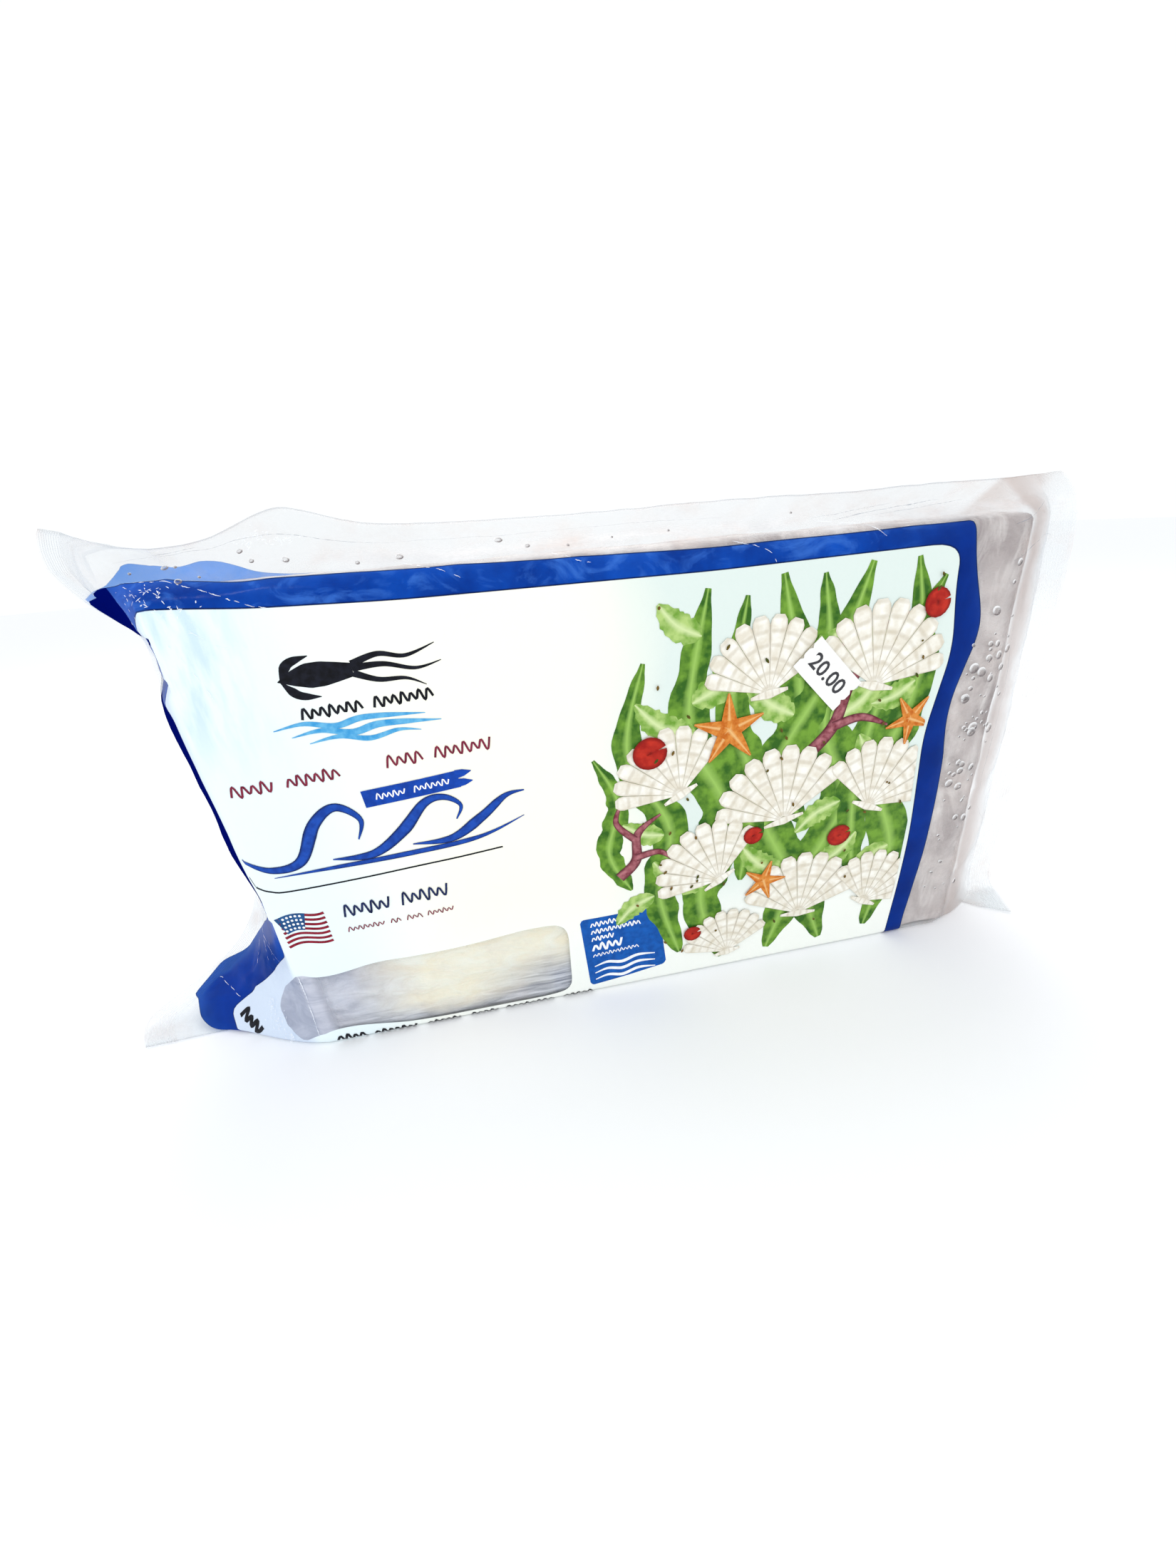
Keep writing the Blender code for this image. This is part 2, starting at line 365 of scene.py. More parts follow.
def roundedCurve(knots, steps):
    points = []
    for i in range(len(knots) - 1):
        before, start = knots[max(i - 1, 0)], knots[i]
        end, after = knots[i + 1], knots[min(i + 2, len(knots) - 1)]
        for j in range(steps):
            t = j / steps
            straight = 2 * start + (end - before) * t
            bend = (2 * before - 5 * start + 4 * end - after) * t**2
            turn = (3 * start - before - 3 * end + after) * t**3
            points.append((straight + bend + turn) / 2)
    return [*points, knots[-1]]


def alongCurve(points, share):  # the place and the direction at a share of its length
    lengths = [(b - a).length for a, b in zip(points, points[1:])]
    left = share * sum(lengths)
    for a, b, length in zip(points, points[1:], lengths):
        if left <= length:
            break
        left -= length
    return a.lerp(b, min(1.0, left / length)), (b - a).normalized()


def sharesAlong(points):
    shares = [0.0]
    for a, b in zip(points, points[1:]):
        shares.append(shares[-1] + (b - a).length)
    return [share / shares[-1] for share in shares]


def hugging(start, end, r, share):  # keeps the flap down and forward near the floor
    low = 1 - eased(share * film["hugShare"])
    powers = (1.0, 1 + film["depthHug"] * low, 1 + film["heightHug"] * low)
    return Vector([between(a, b, r**power) for a, b, power in zip(start, end, powers)])


def kneeOf(start, height, side):  # where a strand of the front film turns back, if it does
    heights, outs, depths = zip(*film["leftKnees"])
    out, depth = np.interp(height, heights, outs), np.interp(height, heights, depths)
    if side > 0 or out == 0.0:
        return None
    corner = Vector((-film["length"] / 2, -film["depth"] / 2, height))
    return corner + Vector((-out, depth, 0.0))


def strand(start, knee, end, r, share):  # a point on the way from the block to the seal
    if knee is None:
        return hugging(start, end, r, share)
    first, second = (knee - start).length, (end - knee).length
    turn = first / (first + second)
    if r < turn:
        return start.lerp(knee, r / turn)
    return knee.lerp(end, (r - turn) / (1 - turn))


def flapRings(endRing, cutEdge, side, rows):  # from the block's end out to the cut edge
    front, back = endRing
    curve = roundedCurve([
        Vector((side * (film["length"] / 2 + out), depth - film["depth"] / 2, height))
        for out, depth, height in cutEdge
    ], film["curveSteps"])
    foot, top = film["freeEnds"]
    rings = [([], []) for _ in range(rows + film["sealRows"])]
    for k, share in enumerate(sharesAlong(front)):
        cut, upwards = alongCurve(curve, share)
        inward = ((front[k] + back[k]) / 2 - cut).normalized()
        seal = cut + inward * film["sealWidth"]
        normal = side * upwards.cross(inward).normalized()
        free = eased(share * foot - 1) * eased((1 - share) * top)
        fold = film["foldDepth"] * math.sin(2 * math.pi * film["foldsPerEnd"] * share)
        knee = kneeOf(front[k], front[k].z, side)
        for j in range(1, rows + 1):
            r = j / rows
            bow = math.sin(math.pi * r) * free
            lift = normal * (film["flapThickness"] / 2 * r**2 + film["endBulge"] * bow)
            shift = normal * fold * bow
            rings[j - 1][0].append(strand(front[k], knee, seal, r, share) + shift + lift)
            rings[j - 1][1].append(hugging(back[k], seal, r, share) + shift - lift)
        for j in range(1, film["sealRows"] + 1):
            place = seal.lerp(cut, j / film["sealRows"])
            lift = normal * film["flapThickness"] / 2
            rings[rows + j - 1][0].append(place + lift)
            rings[rows + j - 1][1].append(place - lift)
    return rings


def filmLoops():  # rows of points round the tube, from the left cut edge to the right one
    half = film["length"] / 2
    start, end = -half + film["leftRounding"][0], half - film["rightRounding"][0]
    rows = film["blockRows"]
    body = [blockRing(between(start, end, i / (rows - 1))) for i in range(rows)]
    leftEnd = blockRing(-half, film["leftRounding"][1])
    rightEnd = blockRing(half, film["rightRounding"][1])
    left = flapRings(leftEnd, film["leftCutEdge"], -1, film["leftRows"])
    right = flapRings(rightEnd, film["rightCutEdge"], 1, film["rightRows"])
    loops = []
    for front, back in [*reversed(left), leftEnd, *body, rightEnd, *right]:
        lowest, highest = (front[0] + back[0]) / 2, (front[-1] + back[-1]) / 2
        loops.append([lowest, *front[1:-1], highest, *back[-2:0:-1], lowest])
    return np.array([[tuple(point) for point in loop] for loop in loops]), len(left)


def filmPlaces(loops, leftCount):  # (u, v) in mm of each point
    rows, columns = loops.shape[:2]
    u = np.zeros((rows, columns))
    steps = np.linalg.norm(np.diff(loops, axis=0), axis=2) / mm
    u[leftCount] = 0.0
    for i in range(leftCount - 1, -1, -1):
        u[i] = u[i + 1] - steps[i]
    blockEnd = leftCount + film["blockRows"] + 1
    for i in range(leftCount + 1, rows):
        if i <= blockEnd:
            u[i] = loops[i, columns // 4, 0] / mm + film["length"] / 2 / mm
        else:
            u[i] = u[i - 1] + steps[i - 1]
    middle = loops[leftCount + film["blockRows"] // 2]
    rounds = np.concatenate([[0.0], np.cumsum(np.linalg.norm(np.diff(middle, axis=0), axis=1))]) / mm
    faceStart = film["bottomSteps"] + film["cornerSteps"]
    v = rounds - rounds[faceStart] + film["bottomRadius"] / mm
    top = (columns - 1) // 2
    backwards = v[: top + 1][::-1]
    v = np.concatenate([v[:top], backStart + backwards])
    return u, np.tile(v, (rows, 1))


loops, leftCount = filmLoops()
filmU, filmV = filmPlaces(loops, leftCount)


def surfaceNormals(points):
    normals = np.cross(np.gradient(points, axis=0), np.gradient(points, axis=1))
    lengths = np.linalg.norm(normals, axis=2, keepdims=True)
    return normals / np.maximum(lengths, 1e-12)


# Creases and wrinkles, as places on the film in mm

wrinkles = {
    # from (u, v) to (u, v), how high, how far to each side
    "creases": (
        (-60, 3, -37, 11, 0.7, 3.0), (-57, 20, -22, 14, 0.8, 4.0), (-48, 30, -30, 8, -0.5, 3.0),
        (-30, 40, -42, 10, 0.6, 3.5), (-20, 2, -14, 20, 0.5, 2.0), (-16, 0, -10, 14, 0.4, 1.6),
        (-6, 150, -30, 170, 0.5, 3.0), (-1, 152, -12, 172, 0.5, 3.0), (3, 153, 14, 170, 0.5, 4.0),
        (10, 147, 38, 156, 0.28, 4.0), (24, 154, 52, 147, 0.22, 5.0), (66, 147, 82, 158, 0.30, 6.0),
        (98, 146, 112, 156, 0.22, 5.0), (150, 156, 176, 146, 0.24, 6.0), (196, 147, 214, 157, 0.26, 5.0),
        (-2, 141, 12, 108, 0.30, 3.5), (2, 143, 22, 122, 0.26, 3.0), (1, 120, 10, 92, 0.22, 3.0),
        (228, 150, 258, 158, 0.7, 5.0), (232, 142, 268, 140, 0.6, 5.0), (236, 100, 274, 92, 0.5, 5.0),
        (234, 58, 276, 66, 0.6, 6.0), (232, 22, 268, 30, 0.6, 5.0), (230, 6, 262, 12, 0.6, 4.0),
        (226, 134, 234, 118, 0.35, 4.0), (224, 60, 232, 84, 0.30, 4.0),
    ),
    "face": (0.10, 0.016),  # mm high, m across
    "loose": (0.45, 0.011),
    "fine": (0.10, 0.0032),
    "looseTop": (152, 8),  # from where it is loose, and over how many mm that grows
    "looseRight": (238, 14),
    "looseLeft": 14,
    "floor": (0.0006, 0.004),  # up to where it lies flat on the floor, and over how far it frees itself
    "margin": 1e-5,  # kept inside the solid's box
}


def crumpled(points, leftCount):  # the film with its creases, moved along its own normals
    rows, columns = points.shape[:2]
    top = (columns - 1) // 2
    height = np.zeros((rows, columns))
    for u0, v0, u1, v1, high, wide in wrinkles["creases"]:
        along = np.array((u1 - u0, v1 - v0), float)
        share = ((filmU - u0) * along[0] + (filmV - v0) * along[1]) / along.dot(along)
        clipped = share.clip(0, 1)
        away = np.hypot(filmU - u0 - clipped * along[0], filmV - v0 - clipped * along[1])
        ends = (4 * np.minimum(share, 1 - share)).clip(0, 1)
        height += high * np.maximum(0, 1 - away / wide) ** 1.5 * ends
    blockEnd = leftCount + film["blockRows"] + 1
    (topFrom, topOver), (rightFrom, rightOver) = wrinkles["looseTop"], wrinkles["looseRight"]
    for i in range(rows):
        for j in range(columns):
            u, v = filmU[i, j], filmV[i, j] % backStart
            loose = max(
                eased((v - topFrom) / topOver),
                eased(-u / wrinkles["looseLeft"]),
                eased((u - rightFrom) / rightOver),
            )
            spot = Vector(points[i, j])
            high = wrinkles["face"][0] * noise.noise(spot / wrinkles["face"][1])
            if loose > 0:
                wave = noise.noise(spot / wrinkles["loose"][1] + Vector((9, 2, 5)))
                ripple = noise.noise(spot / wrinkles["fine"][1])
                high += loose * (
                    wrinkles["loose"][0] * (1 - 2 * abs(wave)) * 0.5 + wrinkles["fine"][0] * ripple
                )
            height[i, j] += high
    low, over = wrinkles["floor"]
    height *= ((points[:, :, 2] - low) / over).clip(0, 1)
    normals = surfaceNormals(points)
    moved = points.copy()
    for i in range(rows):
        flap = i < leftCount or i > blockEnd
        for j in range(columns):
            pair = columns - 1 - j if flap and j > top else j  # both sheets of a flap move as one
            moved[i, j] += normals[i, pair] * height[i, pair] * mm
    moved[:, -1] = moved[:, 0]
    lowest, highest = np.array(cadBox)
    return moved.clip(lowest + wrinkles["margin"], highest - wrinkles["margin"])


loops = crumpled(loops, leftCount)
filmNormals = surfaceNormals(loops)
topColumn = (loops.shape[1] - 1) // 2
print("film worked out:", loops.shape)


def onFilm(u, v, lift=0.0):  # the point at (u, v) on the film, lift mm outside it
    columns = np.arange(len(filmV[0]) - 1, topColumn + 1, -1) if v > backStart / 2 else np.arange(topColumn)
    column = np.interp(v, filmV[0, columns], np.arange(len(columns)))
    j = min(int(column), len(columns) - 2)
    g = column - j
    j, other = columns[j], columns[j + 1]
    row = np.interp(u, between(filmU[:, j], filmU[:, other], g), np.arange(len(filmU)))
    i = min(int(row), len(filmU) - 2)
    f = row - i
    point, normal = [
        between(between(grid[i, j], grid[i + 1, j], f), between(grid[i, other], grid[i + 1, other], f), g)
        for grid in (loops, filmNormals)
    ]
    return Vector(point + normal / np.linalg.norm(normal) * lift * mm)


# The print's main fields, as corners (u, v, how far the rounding reaches), in mm

printFields = {
    "blueOutside": (
        (-59, 152, 1), (-10.7, 158.2, 1), (3, 158.6, 4), (9, 157.6, 3), (22, 154.4, 5), (47, 154.6, 8),
        (61, 154.0, 8), (144, 151.7, 8), (225.8, 152.7, 1.2), (229, 139, 6), (235.2, 121, 8),
        (228.2, 95, 8), (231.4, 64, 12), (230.4, 36, 8), (227.0, 8, 3),
        (226, -16.5, 1), (-28, -16.5, 1), (-40, -11, 3), (-47, -5.8, 3),
        (-54, -1.9, 2), (-59, 2, 2), (-62.4, 5, 1), (-61.2, 12, 4), (-60.8, 19.7, 2), (-52.4, 25.5, 2),
        (-48.4, 33.6, 4), (-36.6, 40.4, 4), (-23, 47.3, 4), (-9, 57, 4), (-14, 62, 3), (-18, 100, 8),
        (-18, 126, 8), (-30, 136, 5), (-60, 139, 2),
    ),
    "blueInside": (
        (-3, 149.6, 7), (9, 148.8, 5), (24, 147.4, 5), (59, 146, 8), (144, 145.4, 8), (222.6, 146.6, 10),
        (222.8, 134, 6), (225.8, 114, 8), (220.6, 86, 8), (222.6, 52, 10), (221.6, 24, 8), (219.8, 2, 3),
        (218.5, -8, 3),
        (-20, -9.5, 4), (-35, -4, 5), (-37.8, 1.4, 2), (-41.5, 5, 3), (-36.8, 10.2, 3), (-30, 18.7, 3),
        (-16, 30.4, 4), (-2.4, 39.8, 2), (-2.4, 60, 2), (-3.6, 76, 4), (-4.2, 100, 8), (-4.6, 122, 3),
        (-9, 128, 3), (-9, 139, 3),
    ),
    "window": (
        (1.2, 32.9, 2), (-5.3, 28.2, 2), (-14.2, 21.8, 2), (-17.4, 15.5, 3), (-15.3, 10, 3),
        (-10.1, 4.4, 2), (-6.8, 1.6, 2), (-1.2, 4.6, 2), (4.8, 6.6, 3), (12, 6.8, 4), (19.6, 5.8, 5),
        (30, 3.8, 6), (42, 3.2, 6), (84, 3.0, 6), (91.6, 4.4, 5), (92.4, 34.5, 7), (80, 35.2, 7),
        (62, 33.2, 8), (47, 32.3, 8), (26, 32.9, 6), (14, 30.4, 6), (6, 30.3, 4),
    ),
    "backOutside": (
        (-50, 150, 1), (-27, 156, 2), (-15, 165, 2), (-4, 164, 3), (3, 163.5, 3), (7.7, 165.7, 2),
        (12.3, 163.2, 2), (15.5, 159.6, 3), (18, 156.4, 3), (26, 154.2, 4), (60, 153, 6), (144, 152.0, 8),
        (226, 152.4, 1.5), (228, 125, 8), (226, 0, 6), (226, -16.5, 1), (-28, -16.5, 1),
        (-38, -10, 3), (-46, -2, 2), (-50, 5.5, 2), (-46, 13, 3), (-36, 18, 2), (-28, 24, 3),
        (-19, 30, 3), (-10, 38, 4), (-4, 50, 4), (-12, 64, 4), (-20, 100, 8), (-20, 126, 8), (-46, 140, 2),
    ),
    "backInside": (
        (2, 147, 7), (60, 145, 8), (220, 146, 8), (222, 90, 8), (221, 5, 6), (218, -8, 3),
        (-10, -8, 5), (-22, 4, 6), (-22, 20, 8), (-8, 60, 8), (-6, 120, 8),
    ),
    # Where the ear's blue is painted dark as shade (at its corner two layers of film also lie on each other),
    # and where the ear's window is painted grey-blue as the shade inside the bag
    "earBlueShadeCorner": (
        (-62, 136, 2), (-61, 154, 2), (-10.9, 158.6, 1), (-8.6, 150, 2), (-5.4, 142, 2), (-30, 134, 3),
    ),
    "earBlueShadeEdge": ((-24, 60, 3), (-2.6, 60, 2), (-3.4, 76, 3), (-3.8, 124, 2), (-24, 128, 3)),
    "frosted": ((9.0, 48, 1), (-30, 48, 2), (-30, -14, 2), (9.0, -14, 1)),
}


def roundedOutline(corners):
    made = []
    for i, (u, v, reach) in enumerate(corners):
        corner = np.array((u, v), float)
        ends = []
        for other in (corners[i - 1], corners[(i + 1) % len(corners)]):
            away = np.array(other[:2], float) - corner
            length = np.linalg.norm(away)
            ends.append(corner + away * min(reach, 0.5 * length) / length)
        for t in np.linspace(0, 1, 7):
            made.append((1 - t) ** 2 * ends[0] + 2 * t * (1 - t) * corner + t**2 * ends[1])
    return np.array(made)


def insideBy(corners, u, v):  # how many mm each place lies inside the outline
    outline = roundedOutline(corners)
    distance = np.full(u.shape, 1e9)
    inside = np.zeros(u.shape, bool)
    for a, b in zip(outline, np.roll(outline, -1, axis=0)):
        edge = b - a
        if np.dot(edge, edge) < 1e-12:
            continue
        along = (((u - a[0]) * edge[0] + (v - a[1]) * edge[1]) / np.dot(edge, edge)).clip(0, 1)
        distance = np.minimum(distance, np.hypot(u - a[0] - along * edge[0], v - a[1] - along * edge[1]))
        with np.errstate(divide="ignore", invalid="ignore"):
            leftOf = u < a[0] + (v - a[1]) * edge[0] / edge[1]
        inside ^= ((a[1] > v) != (b[1] > v)) & leftOf
    return np.where(inside, distance, -distance)


def printedShares():  # for each ink, how many mm each point of the film lies inside it
    frontOut = insideBy(printFields["blueOutside"], filmU, filmV)
    frontIn = insideBy(printFields["blueInside"], filmU, filmV)
    window = insideBy(printFields["window"], filmU, filmV)
    backV = filmV - backStart
    backOut = insideBy(printFields["backOutside"], filmU, backV)
    backIn = insideBy(printFields["backInside"], filmU, backV)
    onBack = filmV > backStart / 2
    fromCut = np.full(filmU.shape, 99.0)
    for i in range(film["sealRows"] + 1):
        fromCut[i] = fromCut[-1 - i] = i / film["sealRows"] * film["sealWidth"] / mm
    return {
        "blueInk": np.where(onBack, np.minimum(backOut, -backIn), np.minimum(frontOut, -frontIn)),
        "whiteInk": np.where(onBack, backIn, np.minimum(frontIn, -window)),
        "fromCut": fromCut,
        "doubled": np.maximum(
            insideBy(printFields["earBlueShadeCorner"], filmU, filmV),
            insideBy(printFields["earBlueShadeEdge"], filmU, filmV),
        ),
        "frosted": insideBy(printFields["frosted"], filmU, filmV),
        "filmU": filmU,
        "filmV": filmV,
    }


def buildFilm():
    rows, columns = loops.shape[:2]
    deselectAll()
    bpy.ops.mesh.primitive_grid_add(x_subdivisions=columns - 1, y_subdivisions=rows - 1, size=2)
    bag = bpy.context.object
    bag.name = "film_printed_and_clear"
    mesh = bag.data
    order = gridOrder(mesh)
    places = np.empty((len(mesh.vertices), 3))
    places[order] = loops.reshape(-1, 3)
    mesh.vertices.foreach_set("co", places.ravel())
    for name, values in printedShares().items():
        stored = np.empty(len(mesh.vertices), np.float32)
        stored[order] = values.ravel()
        mesh.attributes.new(name, "FLOAT", "POINT").data.foreach_set("value", stored)
    makeActive(bag)
    bpy.ops.object.mode_set(mode="EDIT")
    bpy.ops.mesh.select_all(action="SELECT")
    bpy.ops.mesh.remove_doubles(threshold=1e-6)
    bpy.ops.mesh.normals_make_consistent(inside=False)
    bpy.ops.object.mode_set(mode="OBJECT")
    bpy.ops.object.shade_smooth()
    return bag


def gridOrder(mesh):  # the grid's vertices row by row, each from left to right
    flat = np.empty(len(mesh.vertices) * 3)
    mesh.vertices.foreach_get("co", flat)
    flat = flat.reshape(-1, 3)
    return np.lexsort((flat[:, 0].round(6), flat[:, 1].round(5)))


filmLook = {
    "roughness": 0.22,
    "inkShine": 0.12,
    "crumple": 3.8,  # mm from ripple to ripple
    "crumpleDepth": (0.3, 0.0005),  # share, and m
    "ribGap": 1.2,  # mm, of the pressed seal
    "ribDepth": (0.5, 0.0002),
    "edgeOn": 0.35,  # how soon it counts as seen edge-on
    "milkGlow": 0.45,  # share of the haze that is lit from behind
    "flatInk": 0.5,  # share of the ink that has no gloss
    "steps": (
        ("blueInk", "field"), ("whiteInk", "field"), ("filmU", "field"), ("filmV", "field"),
        ("fromCut", "field"), ("doubled", "field"), ("frosted", "field"),
        # soft unevenness of the blue, streaks of painted sheen on its top, sway of the pale side's edge,
        # sheen at the top left, rime on the clear film, the frosty crust behind it, and clouds in the painted
        # shade of the ear's window
        ("drift", "noise", 14.3, 0.3, 0.7, 4.0, 0.6),
        ("veins", "noise", (13.3, 13.3, 8.3), 0.50, 0.66, 5.0, 0.6, 1.2, 0.5),
        ("sway", "noise", 45.5, 0.0, 1.0, 1.0, 0.6),
        ("sheen", "noise", (4.8, 16.7, 20.0), 0.42, 0.66, 3.0, 0.6, 0.0, -0.9),
        ("rime", "noise", 13.3, 0.48, 0.72, 5.0, 0.6),
        ("crust", "noise", (16.7, 8.3, 5.3), 0.36, 0.60, 5.0, 0.6),
        ("cloud", "noise", (11.1, 16.7, 6.25), 0.30, 0.66, 5.0, 0.6, 0.8),
        # by how many mm inside an ink, or by where on the film
        ("blue", "SMOOTHSTEP", "blueInk", -0.1, 0.1, 1.0),
        ("white", "SMOOTHSTEP", "whiteInk", -0.1, 0.1, 1.0),
        ("line", "SMOOTHSTEP", "blueInk", 0.5, 0.2, 1.0),
        # painted shade: the blue is deeper towards the right end and on the left ear
        ("toRight", "SMOOTHSTEP", "filmU", 190.0, 226.0, 1.0),
        ("toLeft", "SMOOTHSTEP", "filmU", -4.0, -22.0, 1.0),
        ("toCream", "SMOOTHSTEP", "filmU", 14.0, 60.0, 1.0),
        ("glareAcross", "SMOOTHSTEP", "filmU", 30.0, 4.0, 1.0),
        ("glareUp", "SMOOTHSTEP", "filmV", 96.0, 130.0, 1.0),
        # painted shade: the ear's white panel is tinted grey-blue
        ("onEar", "SMOOTHSTEP", "filmU", 0.0, -6.0, 0.75),
        ("onBack", "SMOOTHSTEP", "filmV", 400.0, 401.0, 1.0),
        ("pressed", "SMOOTHSTEP", "fromCut", 11.0, 10.0, 1.0),
        ("atCut", "SMOOTHSTEP", "fromCut", 0.7, 0.2, 0.35),
        # painted shade: dark blue on the ear's corner and along its edge
        ("twoLayers", "SMOOTHSTEP", "doubled", -0.1, 0.3, 1.0),
        # painted shade: the grey-blue tone in the ear's window stands for the shaded inside of the bag
        ("rimed", "SMOOTHSTEP", "frosted", 0.5, 5.5, 1.0),
        ("frostRight", "SMOOTHSTEP", "filmU", -1.0, 1.5, 1.0),
        ("low", "SMOOTHSTEP", "filmV", 52.0, 20.0, 1.0),
        ("crustFrom", "SMOOTHSTEP", "filmV", 151.5, 154.5, 1.0),
        ("crustTo", "SMOOTHSTEP", "filmV", 163.5, 158.0, 1.0),
        ("crustAcross", "SMOOTHSTEP", "filmU", 24.0, 48.0, 1.0),
        ("fadeFrom", "SMOOTHSTEP", "filmU", 245.0, 250.0, 1.0),
        ("fadeTo", "SMOOTHSTEP", "filmU", 276.0, 250.0, 1.0),
        # painted sheen: lighter blue streaks only on the band's top, which faces the light
        ("veinsUp", "SMOOTHSTEP", "filmV", 138.0, 146.0, 1.0),
        # where these meet
        ("veined", "MULTIPLY", "veins", "veinsUp"), ("veined", "MULTIPLY", "veined", 0.75),
        ("glare", "MULTIPLY", "glareAcross", "glareUp"), ("glare", "MULTIPLY", "glare", "sheen"),
        ("crustBand", "MULTIPLY", "crustFrom", "crustTo"),
        ("crustBand", "MULTIPLY", "crustBand", "crustAcross"), ("crust", "MULTIPLY", "crustBand", "crust"),
        ("fade", "MULTIPLY", "fadeFrom", "fadeTo"), ("doubledBlue", "MULTIPLY", "blue", "twoLayers"),
        ("toFoot", "MULTIPLY", "toCream", "low"), ("swayed", "MULTIPLY_ADD", "sway", 30.0, "filmU"),
        ("toPale", "LINEAR", "swayed", 118.0, 146.0, 1.0), ("rimed", "MULTIPLY", "rimed", 0.92),
        ("frostCloud", "MULTIPLY", "frostRight", "cloud"), ("inked", "MAXIMUM", "blue", "white"),
        # more light comes through the back's blue, which is lit from behind
        ("lets", "LINEAR", "onBack", 0.0, 1.0, 0.52, 0.22), ("lets", "MULTIPLY", "blue", "lets"),
        # tones: blue ink with a dark line at its edge, painted sheen in lighter streaks on its top and
        # painted shade, a deeper blue, at the right and on the left ear; then the panel, cool at the left,
        # creamy in its middle and pale at the right, with glare, painted shade on the ear, and the back over
        # it
        ("deepBlue", "layers", "#01257A", "drift", "#053599"),
        ("blueTone", "layers", "#02318F", "drift", "#0F55C6", "veined", "#3F7ADC", "toRight", "deepBlue",
            "toLeft", "deepBlue", "line", "#03134C"),
        ("ink", "layers", "#EEFBFE", "toCream", "#FFFEF0", "toPale", "#E2EEE8", "toFoot", "#FBFEF8",
            "glare", "#CFE6F4", "onEar", "#CBD8EE", "onBack", "#E1E9F0", "blue", "blueTone"),
        ("blueThrough", "layers", "#6CACFF"), ("blueDoubled", "layers", "#010A5E"),
        ("milk", "layers", "#F6F8FA", "rime", "#EDE3DF", "fade", "#D9CFCB"),
        # painted shade seen through the ear's window, grey-blue with clouds
        ("frost", "layers", "#9BA2B6", "cloud", "#BCC2D2", "frostCloud", "#D6D8E4"),
    ),
    "clearSteps": (  # the bare film, by how it is seen
        ("grazing", "LINEAR", "facing", 0.6, 1.0, 1.0),
        ("tint", "layers", "#FAFBFB", "grazing", "#D8DCE0"),
        ("hazed", "LINEAR", "facing", 0.0, 1.0, 0.34, 0.04),
        ("hazed", "MULTIPLY_ADD", "rime", 0.16, "hazed"), ("hazed", "MULTIPLY_ADD", "crust", 0.55, "hazed"),
        ("hazed", "MULTIPLY_ADD", "fade", 0.66, "hazed"), ("hazed", "MULTIPLY_ADD", "pressed", 0.10, "hazed"),
        ("hazed", "MULTIPLY_ADD", "atCut", 1.0, "hazed"), ("hazed", "MINIMUM", "hazed", 1.0),
    ),
}


def filmNormal(tree):  # the fine crumple that the film gives to all that is printed on it
    spot = addNode(tree, "TexCoord").outputs["Object"]
    crumple = addNode(tree, "TexNoise", {
        "Vector": spot, "Scale": 1 / (filmLook["crumple"] * mm), "Detail": 3.0, "Roughness": 0.55,
    })
    strength, distance = filmLook["crumpleDepth"]
    return addNode(tree, "Bump", {"Strength": strength, "Distance": distance, "Height": crumple})


def filmMaterial():
    # Laminated polyethylene, printed on its inside: gloss over flat ink that lets a little
    # light through, and clear with some haze where it is bare, more along the pressed seals.
    # On the left ear, painted shade: dark blue over its ink and a grey-blue tone in its window
    made, tree = newMaterial("printed polyethylene film")
    parts = addSteps(tree, (
        *filmLook["steps"], ("crimps", "MULTIPLY", "fromCut", 2 * math.pi / filmLook["ribGap"]),
        ("crimps", "SINE", "crimps"), ("crimps", "MULTIPLY", "crimps", "pressed"),
    ))
    strength, distance = filmLook["ribDepth"]
    normal = addNode(tree, "Bump", {
        "Strength": strength, "Distance": distance, "Height": parts["crimps"], "Normal": filmNormal(tree),
    })
    weight = addNode(tree, "LayerWeight", {"Blend": filmLook["edgeOn"], "Normal": normal})
    parts["facing"] = weight.outputs["Facing"]
    addSteps(tree, filmLook["clearSteps"], parts)

    printed = addNode(tree, "BsdfPrincipled", {
        "Base Color": parts["ink"],
        "Roughness": filmLook["roughness"],
        "Specular IOR Level": filmLook["inkShine"],
        "Normal": normal,
    })
    flat = addNode(tree, "BsdfDiffuse", {"Color": parts["ink"], "Normal": normal})
    glow = addNode(tree, "BsdfTranslucent", {"Color": parts["blueThrough"]})
    # painted shade: a dark blue diffuse over the ink where the ear lies in shade
    doubled = addNode(tree, "BsdfDiffuse", {"Color": parts["blueDoubled"]})
    for share, layer in ((filmLook["flatInk"], flat), (parts["lets"], glow), (parts["doubledBlue"], doubled)):
        printed = addNode(tree, "MixShader", {0: share, 1: printed, 2: layer})

    gloss = addNode(tree, "BsdfPrincipled", {
        "Base Color": parts["milk"], "Roughness": filmLook["roughness"], "Normal": normal,
    })
    lit = addNode(tree, "BsdfTranslucent", {"Color": parts["milk"]})
    milky = addNode(tree, "MixShader", {0: filmLook["milkGlow"], 1: gloss, 2: lit})
    # painted shade: a grey-blue diffuse in the ear's window
    frost = addNode(tree, "BsdfDiffuse", {"Color": parts["frost"]})
    whole = addNode(tree, "BsdfTransparent", {"Color": parts["tint"]})
    for share, layer in ((parts["hazed"], milky), (parts["rimed"], frost), (parts["inked"], printed)):
        whole = addNode(tree, "MixShader", {0: share, 1: whole, 2: layer})
    addNode(tree, "OutputMaterial", {"Surface": whole})
    return made


bag = buildFilm()
finishPiece(bag, filmMaterial())
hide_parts("film_bag")
print("film done:", len(bag.data.polygons))


# The printed marks on the panel: squiggles for lines of words, brushed waves, a ribbon, a
# flag, a tag and a plain pattern of kelp and shells. All are strips that lie on the film.

